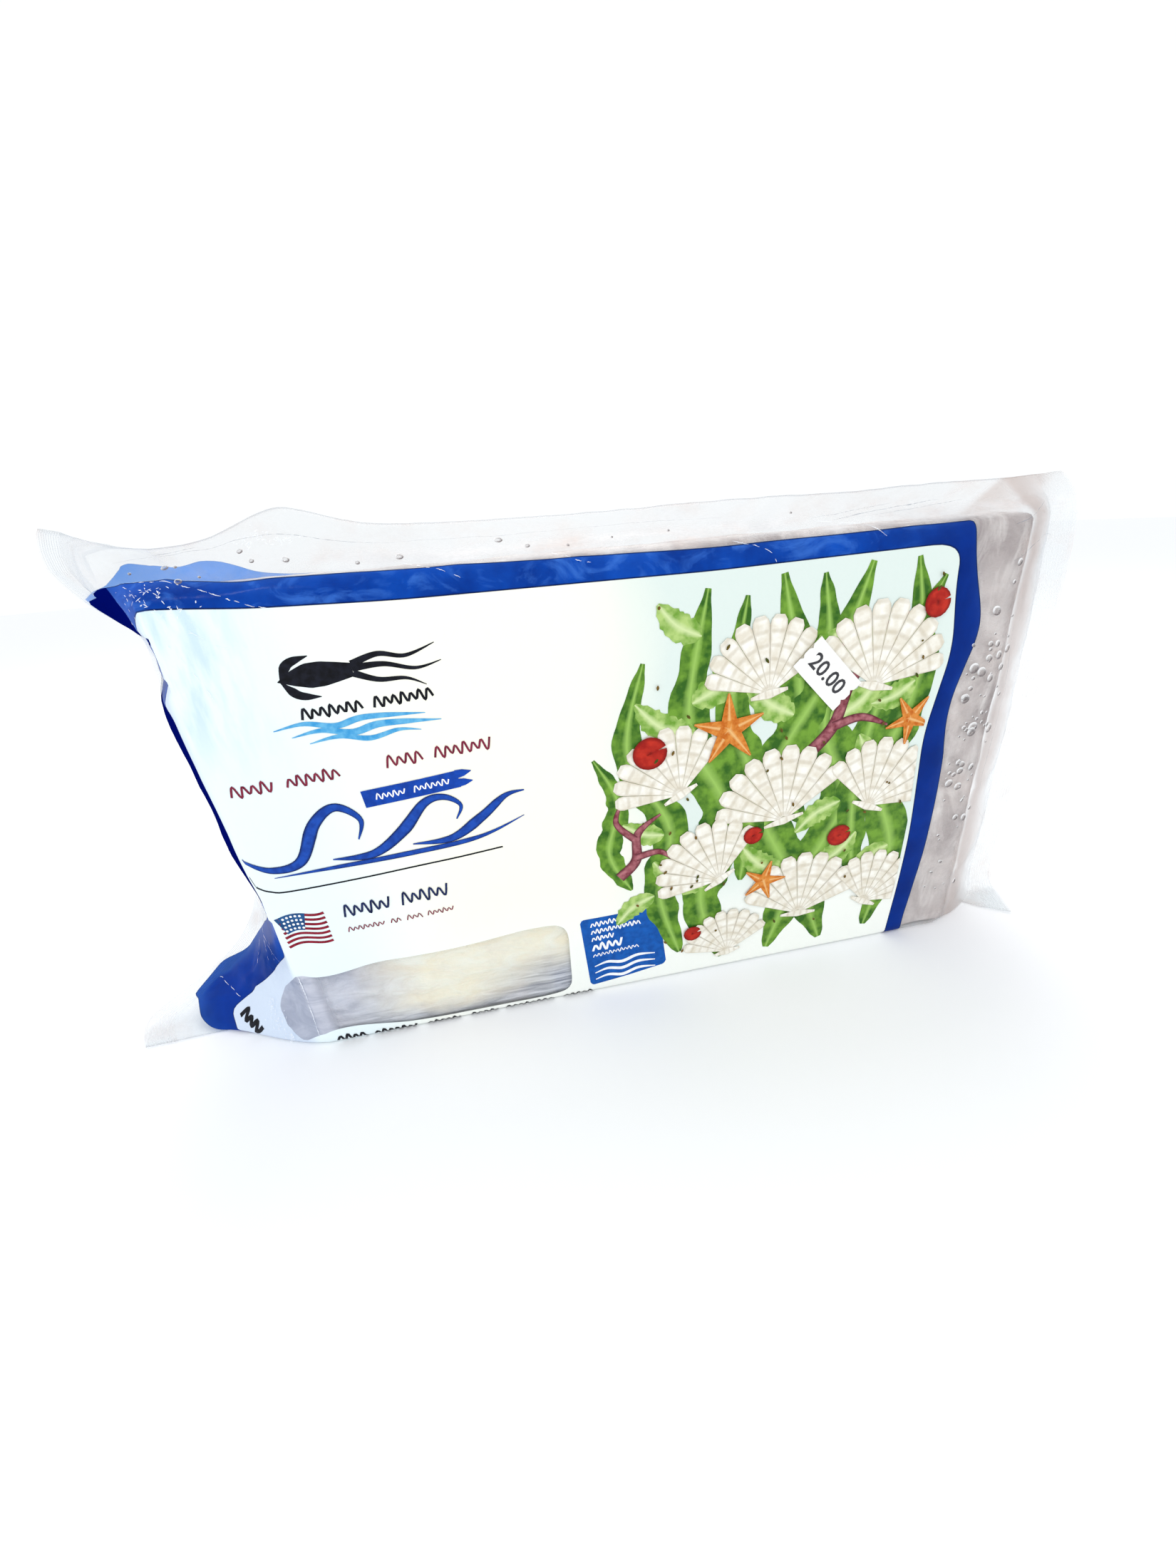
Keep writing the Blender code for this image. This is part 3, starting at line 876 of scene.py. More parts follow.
strips = {
    "lowest": 0.05,  # mm above the film
    "rise": 0.004,  # mm more for each strip of a group
    "step": 1.3,  # mm between points across
    "curveSteps": 12,
}
stripCount = [0]  # how many strips the present group of marks has


def evenPath(points, step):  # a smooth path through the points, at even steps
    dense = np.array(roundedCurve(np.array(points, float), strips["curveSteps"]))
    lengths = np.concatenate([[0.0], np.cumsum(np.linalg.norm(np.diff(dense, axis=0), axis=1))])
    marks = np.linspace(0, lengths[-1], max(6, int(lengths[-1] / step) + 1))
    return np.stack([np.interp(marks, lengths, dense[:, k]) for k in range(2)], axis=1)


def addStrip(path, widths, keep=None):  # a strip of print along the path, widths to each side
    steps = len(path)
    widths = np.interp(np.linspace(0, 1, steps), np.linspace(0, 1, len(widths)), widths)
    along = np.gradient(path, axis=0)
    along /= np.maximum(np.linalg.norm(along, axis=1, keepdims=True), 1e-9)
    side = np.stack([-along[:, 1], along[:, 0]], axis=1)
    rows = 2 * max(1, round(widths.max() / strips["step"]))
    deselectAll()
    bpy.ops.mesh.primitive_grid_add(x_subdivisions=steps - 1, y_subdivisions=rows, size=2)
    strip = bpy.context.object
    mesh = strip.data
    lift = strips["lowest"] + strips["rise"] * stripCount[0]
    stripCount[0] += 1
    shares = {name: np.empty(len(mesh.vertices), np.float32) for name in ("across", "along")}
    for index, vertex in enumerate(gridOrder(mesh)):
        row, column = divmod(index, steps)
        t = row / rows * 2 - 1
        place = path[column] + side[column] * widths[column] * t
        if keep:
            place = keep(place)
        mesh.vertices[int(vertex)].co = onFilm(place[0], place[1], lift)
        shares["across"][vertex] = t
        shares["along"][vertex] = column / (steps - 1)
    for name, values in shares.items():
        mesh.attributes.new(name, "FLOAT", "POINT").data.foreach_set("value", values)
    return strip


def addSquiggle(u0, v0, u1, v1, high, half, beat):  # an unreadable line of writing
    length = math.hypot(u1 - u0, v1 - v0)
    count = max(4, round(2 * length / beat))
    points = []
    for k in range(count + 1):
        rise = high * (0.5 if k % 2 else -0.5) * (1 + 0.3 * math.sin(5.1 * k + u0))
        u, v = between(u0, u1, k / count), between(v0, v1, k / count)
        points.append((u - rise * (v1 - v0) / length, v + rise * (u1 - u0) / length))
    return addStrip(evenPath(points, 0.5), [half])


def addRound(u, v, radius, flat=1.0, turn=0.0, keep=None):  # a disc
    path = []
    for angle in np.linspace(0, 2 * math.pi, max(12, int(4 * radius)) + 1):
        a, b = radius / 2 * math.cos(angle), radius / 2 * flat * math.sin(angle)
        path.append((
            u + a * math.cos(turn) - b * math.sin(turn), v + a * math.sin(turn) + b * math.cos(turn),
        ))
    return addStrip(np.array(path), [radius / 2], keep)


def addMark(mark):  # seven numbers make a line of writing; points, a step and half widths a strip
    if len(mark) == 7:
        return addSquiggle(*mark)
    points, step, widths = mark
    return addStrip(evenPath(points, step) if step else np.array(points), widths)


def joinMarks(marks, name, material):
    deselectAll()
    for mark in marks:
        mark.select_set(True)
    bpy.context.view_layer.objects.active = marks[0]
    bpy.ops.object.join()
    whole = bpy.context.object
    whole.name = name
    bpy.ops.object.shade_smooth()
    finishPiece(whole, material)
    return whole


def inkMaterial(name, low, high, rim=None, rimFrom=0.55, rimTo=1.0, grain=2.0, bands=0.0):
    # Gravure ink under the film: two tones in fine grain (in mm), a third tone towards the rim or,
    # with rimTo at 0, along the middle, and bands across it if asked for
    made, tree = newMaterial(name)
    steps = [("mottle", "noise", grain, 0.35, 0.65, 3.0), ("tone", "layers", low, "mottle", high)]
    if rim:
        steps += [
            ("across", "field"), ("share", "ABSOLUTE", "across"),
            ("share", "LINEAR", "share", rimFrom, rimTo, 1.0),
        ]
    if bands:
        steps += [
            ("along", "field"), ("wave", "MULTIPLY", "along", bands), ("wave", "SINE", "wave"),
            ("wave", "LINEAR", "wave", 0.3, 1.0, 0.35), ("share", "MAXIMUM", "share", "wave"),
        ]
    if rim:
        steps.append(("tone", "layers", "tone", "share", rim))
    face = addNode(tree, "BsdfPrincipled", {
        "Base Color": addSteps(tree, steps)["tone"],
        "Roughness": filmLook["roughness"],
        "Specular IOR Level": filmLook["inkShine"],
        "Normal": filmNormal(tree),
    })
    addNode(tree, "OutputMaterial", {"Surface": face})
    return made


panelMarks = (
    # piece, its ink and two tones, and its marks
    ("print_black", ("black gravure ink", "#0B0C12", "#191B26"), (
        # a plain squid: its body, fins and arms
        (((25, 128.6), (32, 129.4), (44, 129.8)), 1.0, (0.1, 2.0, 3.3, 3.3, 2.6, 1.8)),
        (((25.8, 128.8), (28.6, 133.0), (34, 134.6)), 0.8, (0.2, 1.3, 1.0, 0.1)),
        (((25.8, 128.4), (29.2, 124.6), (34.6, 123.6)), 0.8, (0.2, 1.3, 1.0, 0.1)),
        (((44, 131.2), (51, 133.2), (58, 132.0), (66, 134.6)), 0.8, (1.0, 0.7, 0.5, 0.1)),
        (((44, 130.2), (52, 130.4), (60, 128.4), (67, 129.8)), 0.8, (1.0, 0.7, 0.5, 0.1)),
        (((44, 128.8), (50, 126.4), (57, 126.0), (62, 123.6)), 0.8, (1.0, 0.7, 0.5, 0.1)),
        (28, 119.2, 44, 120.0, 2.6, 0.34, 2.3), (47, 120.2, 63, 121.2, 2.6, 0.34, 2.3),
        # the thin rule
        (((-1.8, 71.4), (0.2, 68.0), (3.6, 65.9), (8.6, 65.1), (30, 65.9), (55, 67.6), (74.8, 69.4)),
            1.0, (0.26,)),
        # the line of writing round the bottom edge
        (5, 2.2, 15, 1.6, 2.6, 0.45, 2.4), (18, 1.4, 33, 0.8, 2.4, 0.45, 2.4),
        (37, 0.6, 49, 0.6, 2.2, 0.40, 2.2), (53, 0.7, 63, 0.7, 2.0, 0.36, 2.2),
        (66, 0.8, 84, 0.8, 1.8, 0.34, 2.2), (88, 0.8, 99, 0.8, 1.8, 0.34, 2.2),
        (-35.5, 6.2, -25.5, 1.8, 3.4, 0.75, 3.2),
    )),
    ("print_water", ("sky blue gravure ink", "#3D9CD8", "#6DBBE6"), [
        (
            ((u0, v), (u0 + 8, v + 1.1), (u0 + 16, v - 0.5), (u0 + 24, v + 1.0), (u1, v + 0.2)),
            1.0, (0.1, half, half * 1.3, half, 0.1),
        )
        for u0, u1, v, half in ((20, 60, 115.6, 0.7), (24, 64, 113.2, 0.8), (28, 58, 110.9, 0.6))
    ]),
    ("print_dark_red", ("dark red gravure ink", "#6E1C33", "#8A2C44"), (
        (3.5, 99.6, 15, 100.2, 3.0, 0.30, 2.5), (18.5, 100.4, 33, 101.4, 3.0, 0.30, 2.5),
        (46.2, 102.6, 56.5, 103.2, 3.0, 0.30, 2.5), (60, 103.5, 76.4, 104.6, 3.0, 0.30, 2.5),
        (21.2, 47.5, 33, 48.0, 1.5, 0.17, 1.6), (35, 48.1, 38.2, 48.3, 1.5, 0.17, 1.6),
        (40.2, 48.4, 45.2, 48.7, 1.5, 0.17, 1.6), (47, 48.8, 55.6, 49.3, 1.5, 0.17, 1.6),
    )),
    # brushed waves with their crests, over one long stroke
    ("print_waves", ("royal blue ink", "#123E9A", "#1C4FB4", "#08133F", 0.55), (
        (((-1, 78), (6, 73.4), (15, 75), (22, 86.5), (29, 91), (35, 86), (33, 79.5)), 0.8,
            (0.3, 1.2, 1.6, 1.9, 1.5, 1.0, 0.2)),
        (((24, 74), (36, 73.8), (46, 80), (54, 88.2), (60, 89.4), (64.5, 86), (62.5, 81.5)), 0.8,
            (0.2, 1.2, 1.6, 1.9, 1.4, 0.9, 0.2)),
        (((48, 75), (60, 75.2), (70, 81), (78, 87), (84, 88)), 0.8, (0.2, 1.1, 1.7, 1.3, 0.2)),
        (((6, 70.6), (24, 71.2), (46, 72.0), (68, 74.2), (83, 79.5)), 1.0, (0.1, 0.7, 0.9, 0.8, 0.1)),
    )),
    ("print_navy", ("navy gravure ink", "#141E44", "#22305E"), (
        (21.6, 54.6, 36.5, 55.4, 3.8, 0.33, 2.7), (40, 55.8, 55.2, 56.8, 3.8, 0.33, 2.7),
    )),
    ("print_ribbon", ("ribbon blue gravure ink", "#0A3C9C", "#1049B4"), (
        (((37.4, 92.0), (50, 93.0), (65.4, 94.6)), 1.0, (2.7,)),
        *[
            ([(u, v + (u - 64.8) * slope) for u in (64.8, 65.9, 67, 68.2, 69.4)], None, (1.35, 1.1, 0.1))
            for v, slope in ((96.1, 0.14), (93.3, 0.06))
        ],
    )),
    ("print_ribbon_words", ("white gravure ink", "#F2F6FA", "#FFFFFF"), (
        (41, 92.3, 49.6, 92.9, 1.7, 0.2, 1.6), (52, 93.2, 62.6, 94.3, 1.7, 0.2, 1.6),
    )),
)

# A plain blue tag with lines of writing over waves
tagMarks = (
    ("print_tag", ("tag blue gravure ink", "#0C4FA2", "#145EB8"), (
        (((97.6, 19.3), (112, 20.2), (126.6, 21.6)), 0.6,
            (14.0, 15.3, *[15.4 - 0.04 * k for k in range(36)], 13.6, 12.4)),
    )),
    ("print_tag_lines", ("tag white gravure ink", "#F2F6FA", "#FFFFFF"), (
        (100.4, 31.8, 110.5, 32.4, 1.9, 0.24, 1.5), (100.4, 28.6, 118.5, 29.6, 1.9, 0.24, 1.5),
        (100.4, 25.4, 108.5, 25.9, 1.9, 0.24, 1.5), (100.4, 21.4, 111.5, 22.1, 2.9, 0.42, 2.5),
        (100.4, 17.8, 117.5, 18.8, 1.4, 0.18, 1.4),
        *[
            (
                ((100.6, v - 0.6), (105.5, v + 0.7), (111, v - 0.4), (117, v + 1.3), (123.6, v + 0.6)),
                0.8, (0.2, 0.6, 0.7, 0.6, 0.2),
            )
            for v in (13.2 - 3.1 * k for k in range(3))
        ],
    )),
)


def buildMarks(pieces):
    stripCount[0] = 0
    for name, ink, marks in pieces:
        joinMarks([addMark(mark) for mark in marks], name, inkMaterial(*ink))


flag = {
    "u": (2.0, 15.8),
    "v": (44.0, 55.8),
    "wave": (0.9, 16, 2),  # height, length and where it starts, mm
    "climb": 0.06,
    "stripes": 7,
    "corner": (9.4, 3.2),  # up to which u, and its half height
    "dots": (5, 4, 3.3, 1.3, 1.0, 1.5),  # across, down, first u and step, first drop and step
    "dotRadius": 0.42,
}


def waved(u, v):
    high, length, start = flag["wave"]
    return u, v + high * math.sin((u - start) / length * 2 * math.pi) + flag["climb"] * (u - start)


def buildFlag():  # a waving striped flag with a plain dotted corner
    stripCount[0] = 0
    low, high = flag["v"]
    half = (high - low) / (2 * flag["stripes"] - 1) / 2
    stripes = []
    for k in range(flag["stripes"]):
        v = low + half + 4 * half * k
        stripes.append(addStrip(np.array([waved(u, v) for u in np.linspace(*flag["u"], 16)]), [half]))
    joinMarks(stripes, "print_flag_stripes", inkMaterial("flag red gravure ink", "#7C1328", "#962036"))
    end, half = flag["corner"]
    path = np.array([waved(u, high - half) for u in np.linspace(flag["u"][0], end, 8)])
    corner = [addStrip(path, [half])]
    joinMarks(corner, "print_flag_corner", inkMaterial("flag blue gravure ink", "#1A4678", "#265A92"))
    across, down, u, stepAcross, drop, stepDown = flag["dots"]
    dots = [
        addRound(*waved(u + stepAcross * k, high - drop - stepDown * row), flag["dotRadius"])
        for row in range(down) for k in range(across)
    ]
    joinMarks(dots, "print_flag_dots", inkMaterial("flag white gravure ink", "#F2F6FA", "#FFFFFF"))


pattern = {
    # kelp: its stem's points, half width
    "kelp": (
        (((150, 6), (141, 36), (150, 68), (137, 100), (143, 141)), 8.6),
        (((168, 6), (175, 36), (163, 68), (174, 100), (166, 143)), 9.4),
        (((190, 6), (182, 36), (193, 66), (183, 98), (194, 144)), 9.0),
        (((209, 8), (215, 42), (206, 74), (215, 108), (209, 144)), 8.0),
        (((133, 12), (126, 40), (130, 66), (117, 94), (123, 122)), 6.4),
        (((116, 44), (109, 60), (113, 78), (106, 94)), 4.2),
        (((178, 60), (168, 84), (182, 112), (179, 142)), 6.6),
        (((156, 40), (159, 76), (151, 104), (155, 138)), 6.2),
        (((201, 30), (197, 70), (203, 104), (219, 138)), 6.4),
    ),
    # blades: from (u, v) to (u, v), half width, bend
    "blades": (
        (142, 40, 124, 54, 4.6, 0.12), (149, 66, 164, 80, 4.6, -0.1), (139, 98, 120, 110, 4.6, 0.12),
        (138, 108, 154, 122, 5.0, -0.12), (141, 128, 128, 138, 4.2, 0.1), (173, 40, 156, 54, 4.8, 0.1),
        (165, 70, 182, 82, 4.8, -0.1), (172, 100, 156, 114, 5.0, 0.1), (170, 114, 186, 126, 5.0, -0.1),
        (184, 40, 200, 52, 5.0, -0.1), (192, 66, 176, 56, 4.4, -0.1), (185, 96, 202, 110, 5.2, -0.1),
        (188, 116, 206, 128, 5.2, -0.1), (214, 44, 200, 32, 4.6, -0.1), (208, 76, 196, 90, 4.8, 0.1),
        (214, 106, 199, 100, 4.4, 0.1), (124, 40, 110, 30, 4.0, -0.1), (128, 64, 114, 70, 4.0, 0.1),
    ),
    # shells: the hinge's (u, v), size, turn in degrees
    "shells": (
        (134, 78, 24, 118), (199, 106, 27, 76), (163, 108, 24, 100), (171, 62, 28, 104),
        (203, 62, 26, 66), (148, 42, 25, 122), (180, 20, 27, 88), (207, 20, 23, 62),
        (152, 8, 20, 100),
    ),
    "stars": ((150, 98, 12, 20), (214, 93, 9, 50), (165, 38, 8.5, 0)),
    # coral: a trunk and its twigs, and the half width at the foot
    "corals": (
        (((176, 84), (186, 94), (192, 110), (204, 118)), 2.4), (((186, 94), (196, 96), (206, 92)), 1.7),
        (((189, 102), (184, 114), (188, 122)), 1.5), (((198, 114), (200, 124), (208, 128)), 1.4),
        (((112, 50), (118, 56), (119, 66), (127, 72)), 2.0), (((118, 57), (126, 58), (131, 54)), 1.4),
        (((118, 64), (112, 71), (114, 78)), 1.3),
    ),
    # pebbles: (u, v), radius, how round
    "pebbles": (
        (124, 94, 5.6, 0.9), (193, 52, 4.6, 0.8), (217, 130, 4.4, 1.1), (160, 58, 3.6, 0.9),
        (138, 20, 3.4, 0.9),
    ),
    "flecks": (11, 46, (118, 218), (10, 138)),  # seed, how many, in which u and v
    # the right edge that it keeps clear of: at which v, and its u
    "edge": ((0, 24, 52, 86, 114, 132, 139, 146.6), (219.0, 220.6, 221.6, 219.8, 224.4, 222.2, 220.6, 214.0)),
    "edgeGap": 0.7,
    "rows": (5.0, 145.2),  # lowest and highest v
    "ribs": (9, math.radians(124)),  # of a shell, and how far they spread
}


def insidePanel(place):  # keeps the pattern clear of the blue border
    u, v = place
    low, high = pattern["rows"]
    return np.array((min(u, np.interp(v, *pattern["edge"]) - pattern["edgeGap"]), min(max(v, low), high)))


def addBlade(path, half, keep):  # with frilled edges
    s = np.linspace(0, 1, 48)
    frill = 1 + 0.10 * np.sin(s * 41 + half) + 0.06 * np.sin(s * 73 + 1)
    return addStrip(path, half * np.sin(math.pi * s**0.8).clip(0.03, 1) ** 0.6 * frill, keep)


def shellRibs(u, v, size, turn):
    ribs = []
    ribCount, spread = pattern["ribs"]
    for k in range(ribCount):
        share = k / (ribCount - 1) - 0.5
        angle = math.radians(turn) + share * spread
        reach = size * (1 - 0.35 * share**2)
        radii = np.linspace(0.06 * size, reach, 16)
        path = np.stack([u + radii * math.cos(angle), v + radii * math.sin(angle)], axis=1)
        half = radii * math.tan(spread / ribCount / 2 * 1.1)
        half[-1] *= 0.45
        half[-2] *= 0.85
        ribs.append(addStrip(path, half, insidePanel))
    wing = math.radians(turn + 90)
    ends = [(u + size * 0.26 * k * math.cos(wing), v + size * 0.26 * k * math.sin(wing)) for k in (-1, 1)]
    ribs.append(addStrip(evenPath(ends, 0.8), [0.5, 1.6, 0.5]))
    return ribs


def buildPattern():  # each kind is joined before the next is made, which is faster
    stripCount[0] = 0
    kelp = [addBlade(evenPath(stem, 1.3), half, insidePanel) for stem, half in pattern["kelp"]]
    joinMarks(kelp, "print_kelp", inkMaterial(
        "kelp green gravure inks", "#33641D", "#74A238", "#9CC661", 0.35, 0.0, 4.2,
    ))
    blades = []
    for u0, v0, u1, v1, half, bend in pattern["blades"]:
        middle = ((u0 + u1) / 2 - (v1 - v0) * bend, (v0 + v1) / 2 + (u1 - u0) * bend)
        blades.append(addBlade(evenPath([(u0, v0), middle, (u1, v1)], 1.0), half, insidePanel))
    joinMarks(blades, "print_kelp_blades", inkMaterial(
        "pale green gravure inks", "#6FA038", "#B5D27C", "#D8E9AC", 0.4, 0.0, 3.3,
    ))
    coral = [
        addStrip(evenPath(points, 0.9), [half, half * 0.9, half * 0.7, 0.4], insidePanel)
        for points, half in pattern["corals"]
    ]
    joinMarks(coral, "print_coral", inkMaterial(
        "coral gravure inks", "#7B3440", "#B8757C", "#54202B", 0.45, 1.0, 2.4,
    ))
    shells = [rib for shell in pattern["shells"] for rib in shellRibs(*shell)]
    joinMarks(shells, "print_shells", inkMaterial(
        "shell cream gravure inks", "#E8E1D0", "#FDFBF2", "#B9AB90", 0.72, 1.25, 3.8, bands=34.0,
    ))
    stars = []
    for u, v, size, turn in pattern["stars"]:
        for k in range(5):
            angle = math.radians(turn + 72 * k)
            path = evenPath([(u, v), (u + size * math.cos(angle), v + size * math.sin(angle))], 1.0)
            stars.append(addStrip(path, [size * 0.27, size * 0.2, size * 0.12, 0.3], insidePanel))
    joinMarks(stars, "print_stars", inkMaterial(
        "orange gravure inks", "#C4661A", "#E09040", "#F0C080", 0.3, 0.0, 1.7,
    ))
    pebbles = [addRound(u, v, radius, flat, 0.3, insidePanel) for u, v, radius, flat in pattern["pebbles"]]
    joinMarks(pebbles, "print_pebbles", inkMaterial(
        "red gravure inks", "#9E1A14", "#C43122", "#7E120E", 0.5, 1.0, 3.3,
    ))
    seed, count, across, up = pattern["flecks"]
    draw = random.Random(seed)
    flecks = []
    for u, v in [(draw.uniform(*across), draw.uniform(*up)) for _ in range(count)]:
        path = evenPath([(u, v), (u + draw.uniform(-1.2, 1.2), v + draw.uniform(0.6, 1.6))], 0.6)
        flecks.append(addStrip(path, [0.2, 0.5, 0.2]))
    joinMarks(flecks, "print_flecks", inkMaterial("olive gravure ink", "#3D4A16", "#7A5A24"))


# The back is hidden in the photo: ruled rows of unreadable lines over brushed waves

backMarks = {
    "seed": 5,
    "rows": (126, 1128, 208, 8, 9.5),  # from u, top v, to u, how many, row height
    "columns": (0, 50, 82),  # where the upright rules stand
    "words": ((4, (20, 40)), (54, (10, 22))),  # where they start in a row, and how long they are
    "lines": (18, 1126, 104, 11, 6.2),
    "shorter": (0, 34),  # how much a line may end early
    "waves": (26, 14, 196, 5),  # v, from u, to u, how many
}


def buildBackMarks():
    stripCount[0] = 0
    draw = random.Random(backMarks["seed"])
    u0, top, u1, count, high = backMarks["rows"]
    ends = [((u0, top - high * k), (u1, top - high * k)) for k in range(count + 1)]
    ends += [((u0 + u, top), (u0 + u, top - high * count)) for u in backMarks["columns"]]
    rules = [addStrip(evenPath(pair, 3.0), [0.25]) for pair in ends]
    joinMarks(rules, "print_back_rules", inkMaterial("back navy gravure ink", "#0B2A72", "#12388E"))
    words = []
    for k in range(count):
        v = top - high * (k + 0.5)
        for start, reach in backMarks["words"]:
            words.append(addSquiggle(u0 + start, v, u0 + start + draw.uniform(*reach), v, 2.2, 0.28, 1.6))
    u0, top, u1, count, high = backMarks["lines"]
    for k in range(count):
        v = top - high * k
        words.append(addSquiggle(u0, v, u1 - draw.uniform(*backMarks["shorter"]), v, 1.9, 0.24, 1.4))
    joinMarks(words, "print_back_lines", inkMaterial("back black gravure ink", "#1B1C22", "#2A2B33"))
    v, u0, u1, count = backMarks["waves"]
    waves = []
    for k in range(count):
        path = [(u, backStart + v - 3.4 * k + 2.2 * math.sin(u / 9.5 + 0.7 * k)) for u in range(u0, u1, 3)]
        waves.append(addStrip(evenPath(path, 1.6), [0.1, 0.9, 0.5, 0.1]))
    joinMarks(waves, "print_back_waves", inkMaterial("back light blue gravure ink", "#3F9AD8", "#62B4E6"))


# Painted highlights: white dashes and flecks where the film's creases catch the light, and painted shade:
# dark lines along its folds

creaseHighlights = {
    "seed": 4,
    "firstStrip": 4,  # lifts them over the print
    "step": 0.35,  # mm between points
    "sway": (0.2, 0.09),  # mm, of a dash, and of its points
    "spread": (0.4, 1.5),  # shortest and longest dash or gap, to its usual length
    # paths (u, v) broken into dashes: half width, dash and gap
    "paths": (
        (((0.5, 158.2), (6, 157.2), (12.6, 154.0), (19.5, 150.6), (25.2, 148.0), (29, 146.8)),
            0.13, 2.6, 1.0),
        (((-4.4, 156.6), (-1.3, 154.5), (1.8, 150.6), (5.2, 147.8)), 0.12, 1.7, 0.9),
        (((1.4, 157.0), (2.6, 154.2), (4.2, 153.0), (7.5, 148.7)), 0.12, 1.5, 0.7),
        (((-5.4, 151.4), (-3.4, 148.6), (-1.8, 144.6), (-1.2, 139.0)), 0.12, 1.3, 1.2),
        (((3.4, 140.8), (7.2, 131.6), (9.0, 124.4)), 0.12, 3.4, 1.4),
        (((9.4, 143.6), (14.6, 139.2), (21, 138.4)), 0.10, 3.0, 1.8),
        (((-59.2, 44.4), (-45, 40.5), (-30, 36.6), (-14, 33.6), (1.0, 32.2)), 0.10, 6.0, 0.3),
        (((0.9, 33.4), (0.6, 18.0), (-0.2, 4.1)), 0.16, 9.0, 0.2),
        (((-41, 33), (-36, 24)), 0.10, 4.0, 1.0), (((-31, 36), (-25, 27)), 0.12, 4.0, 1.0),
        (((-56, 13), (-39, 10)), 0.10, 6.0, 1.0), (((-22, 38), (-18, 31)), 0.12, 3.0, 1.0),
        (((62, 155.6), (70, 152.6), (76, 149.8)), 0.10, 3.4, 1.6),
        (((100, 154.6), (106, 151.6), (110, 150.6)), 0.10, 2.4, 1.2),
        (((150, 153.0), (160, 149.4), (163, 146.2)), 0.10, 4.0, 1.2),
        (((178, 157.8), (190, 155.2), (197, 150.0)), 0.12, 5.0, 1.4),
    ),
    # how many short flecks of painted highlight, about which (u, v), how far they scatter
    "flecks": (
        (16, (0.0, 152.6), (4.4, 2.6)), (14, (5.0, 153.4), (2.8, 2.4)), (46, (-16.2, 8.2), (4.2, 4.6)),
        (34, (-20.6, 12.6), (2.0, 2.2)), (26, (-11.0, 3.2), (2.6, 1.6)), (40, (27, 165.2), (4.2, 2.4)),
        (22, (33, 163.4), (4.0, 1.2)), (18, (8, 148), (8, 4)),
    ),
}


filmFolds = {
    "crazing": 1.1,  # mm
    # points (u, v) along each fold, where a line of painted shade lies, and half width
    "lines": (
        (((181, 156.4), (193, 158.8), (205, 160.4), (219, 162.2)), 0.22),
        (((176, 158.2), (190, 160.6), (204, 162.6)), 0.12),
        (((196, 157.4), (210, 158.8), (226, 161.0)), 0.12),
        (((-6, 166.4), (6, 166.8), (22, 165.8), (40, 164.2), (60, 163.2)), 0.10),
        (((2, 167.6), (9, 168.0), (13, 167.6)), 0.16),
        (((62, 163.6), (90, 163.0), (120, 163.6), (150, 162.2)), 0.08),
        (((238, 150), (246, 152), (256, 157)), 0.12), (((240, 140), (254, 146), (268, 146)), 0.10),
        (((247, 120), (251, 90), (249, 60)), 0.10), (((252, 52), (262, 44), (274, 46)), 0.08),
    ),
}


# its tone paints a highlight along the white creases and a shade along the dark folds
def foldMaterial(name, tone, least, most):  # crazed along the fold, partly see-through
    made, tree = newMaterial(name)
    share = addSteps(tree, (
        ("crazing", "noise", filmFolds["crazing"], 0.0, 1.0, 2.0),
        ("share", "LINEAR", "crazing", 0.38, 0.62, most, least),
    ))["share"]
    face = addNode(tree, "BsdfPrincipled", {"Base Color": linearColour(tone), "Roughness": 0.3})
    clear = addNode(tree, "BsdfTransparent")
    whole = addNode(tree, "MixShader", {0: share, 1: clear, 2: face})
    addNode(tree, "OutputMaterial", {"Surface": whole})
    return made


def buildCreases():
    stripCount[0] = creaseHighlights["firstStrip"]
    draw = random.Random(creaseHighlights["seed"])
    step, spread = creaseHighlights["step"], creaseHighlights["spread"]
    dashSway, pointSway = creaseHighlights["sway"]

    def shift(most):
        return draw.uniform(-most, most), draw.uniform(-most, most)

    lines = []
    for points, half, dash, gap in creaseHighlights["paths"]:
        path = evenPath(points, step)
        at = 0
        while at < len(path) - 3:
            count = max(3, int(dash * draw.uniform(*spread) / step))
            piece = path[at : at + count] + np.array(shift(dashSway))
            piece = piece + np.array([shift(pointSway) for _ in piece])
            if len(piece) > 2:
                lines.append(addStrip(piece, [0.03, half, half * 0.7, 0.03]))
            at += count + max(1, int(gap * draw.uniform(*spread) / step))
    for count, (u, v), (wide, high) in creaseHighlights["flecks"]:
        for _ in range(count):
            start = np.array((draw.gauss(u, wide / 2), draw.gauss(v, high / 2)))
            path = evenPath([start, start + np.array(shift(1))], 0.4)
            lines.append(addStrip(path, [0.03, draw.uniform(0.06, 0.17), 0.03]))
    # the white creases are painted highlights
    joinMarks(lines, "film_crease_highlights", foldMaterial("painted crease highlights", "#F2F7FF", 0.6, 1.0))
    folds = [
        addStrip(evenPath(points, 1.0), [0.03, half, half * 0.5, half, 0.03])
        for points, half in filmFolds["lines"]
    ]
    # the dark folds are painted shade
    joinMarks(folds, "film_fold_shade", foldMaterial("painted shade along film folds", "#8D949E", 0.15, 0.75))


buildMarks(panelMarks)
buildFlag()
buildMarks(tagMarks)
buildPattern()
buildBackMarks()
buildCreases()
print("print done")


# The frozen block inside

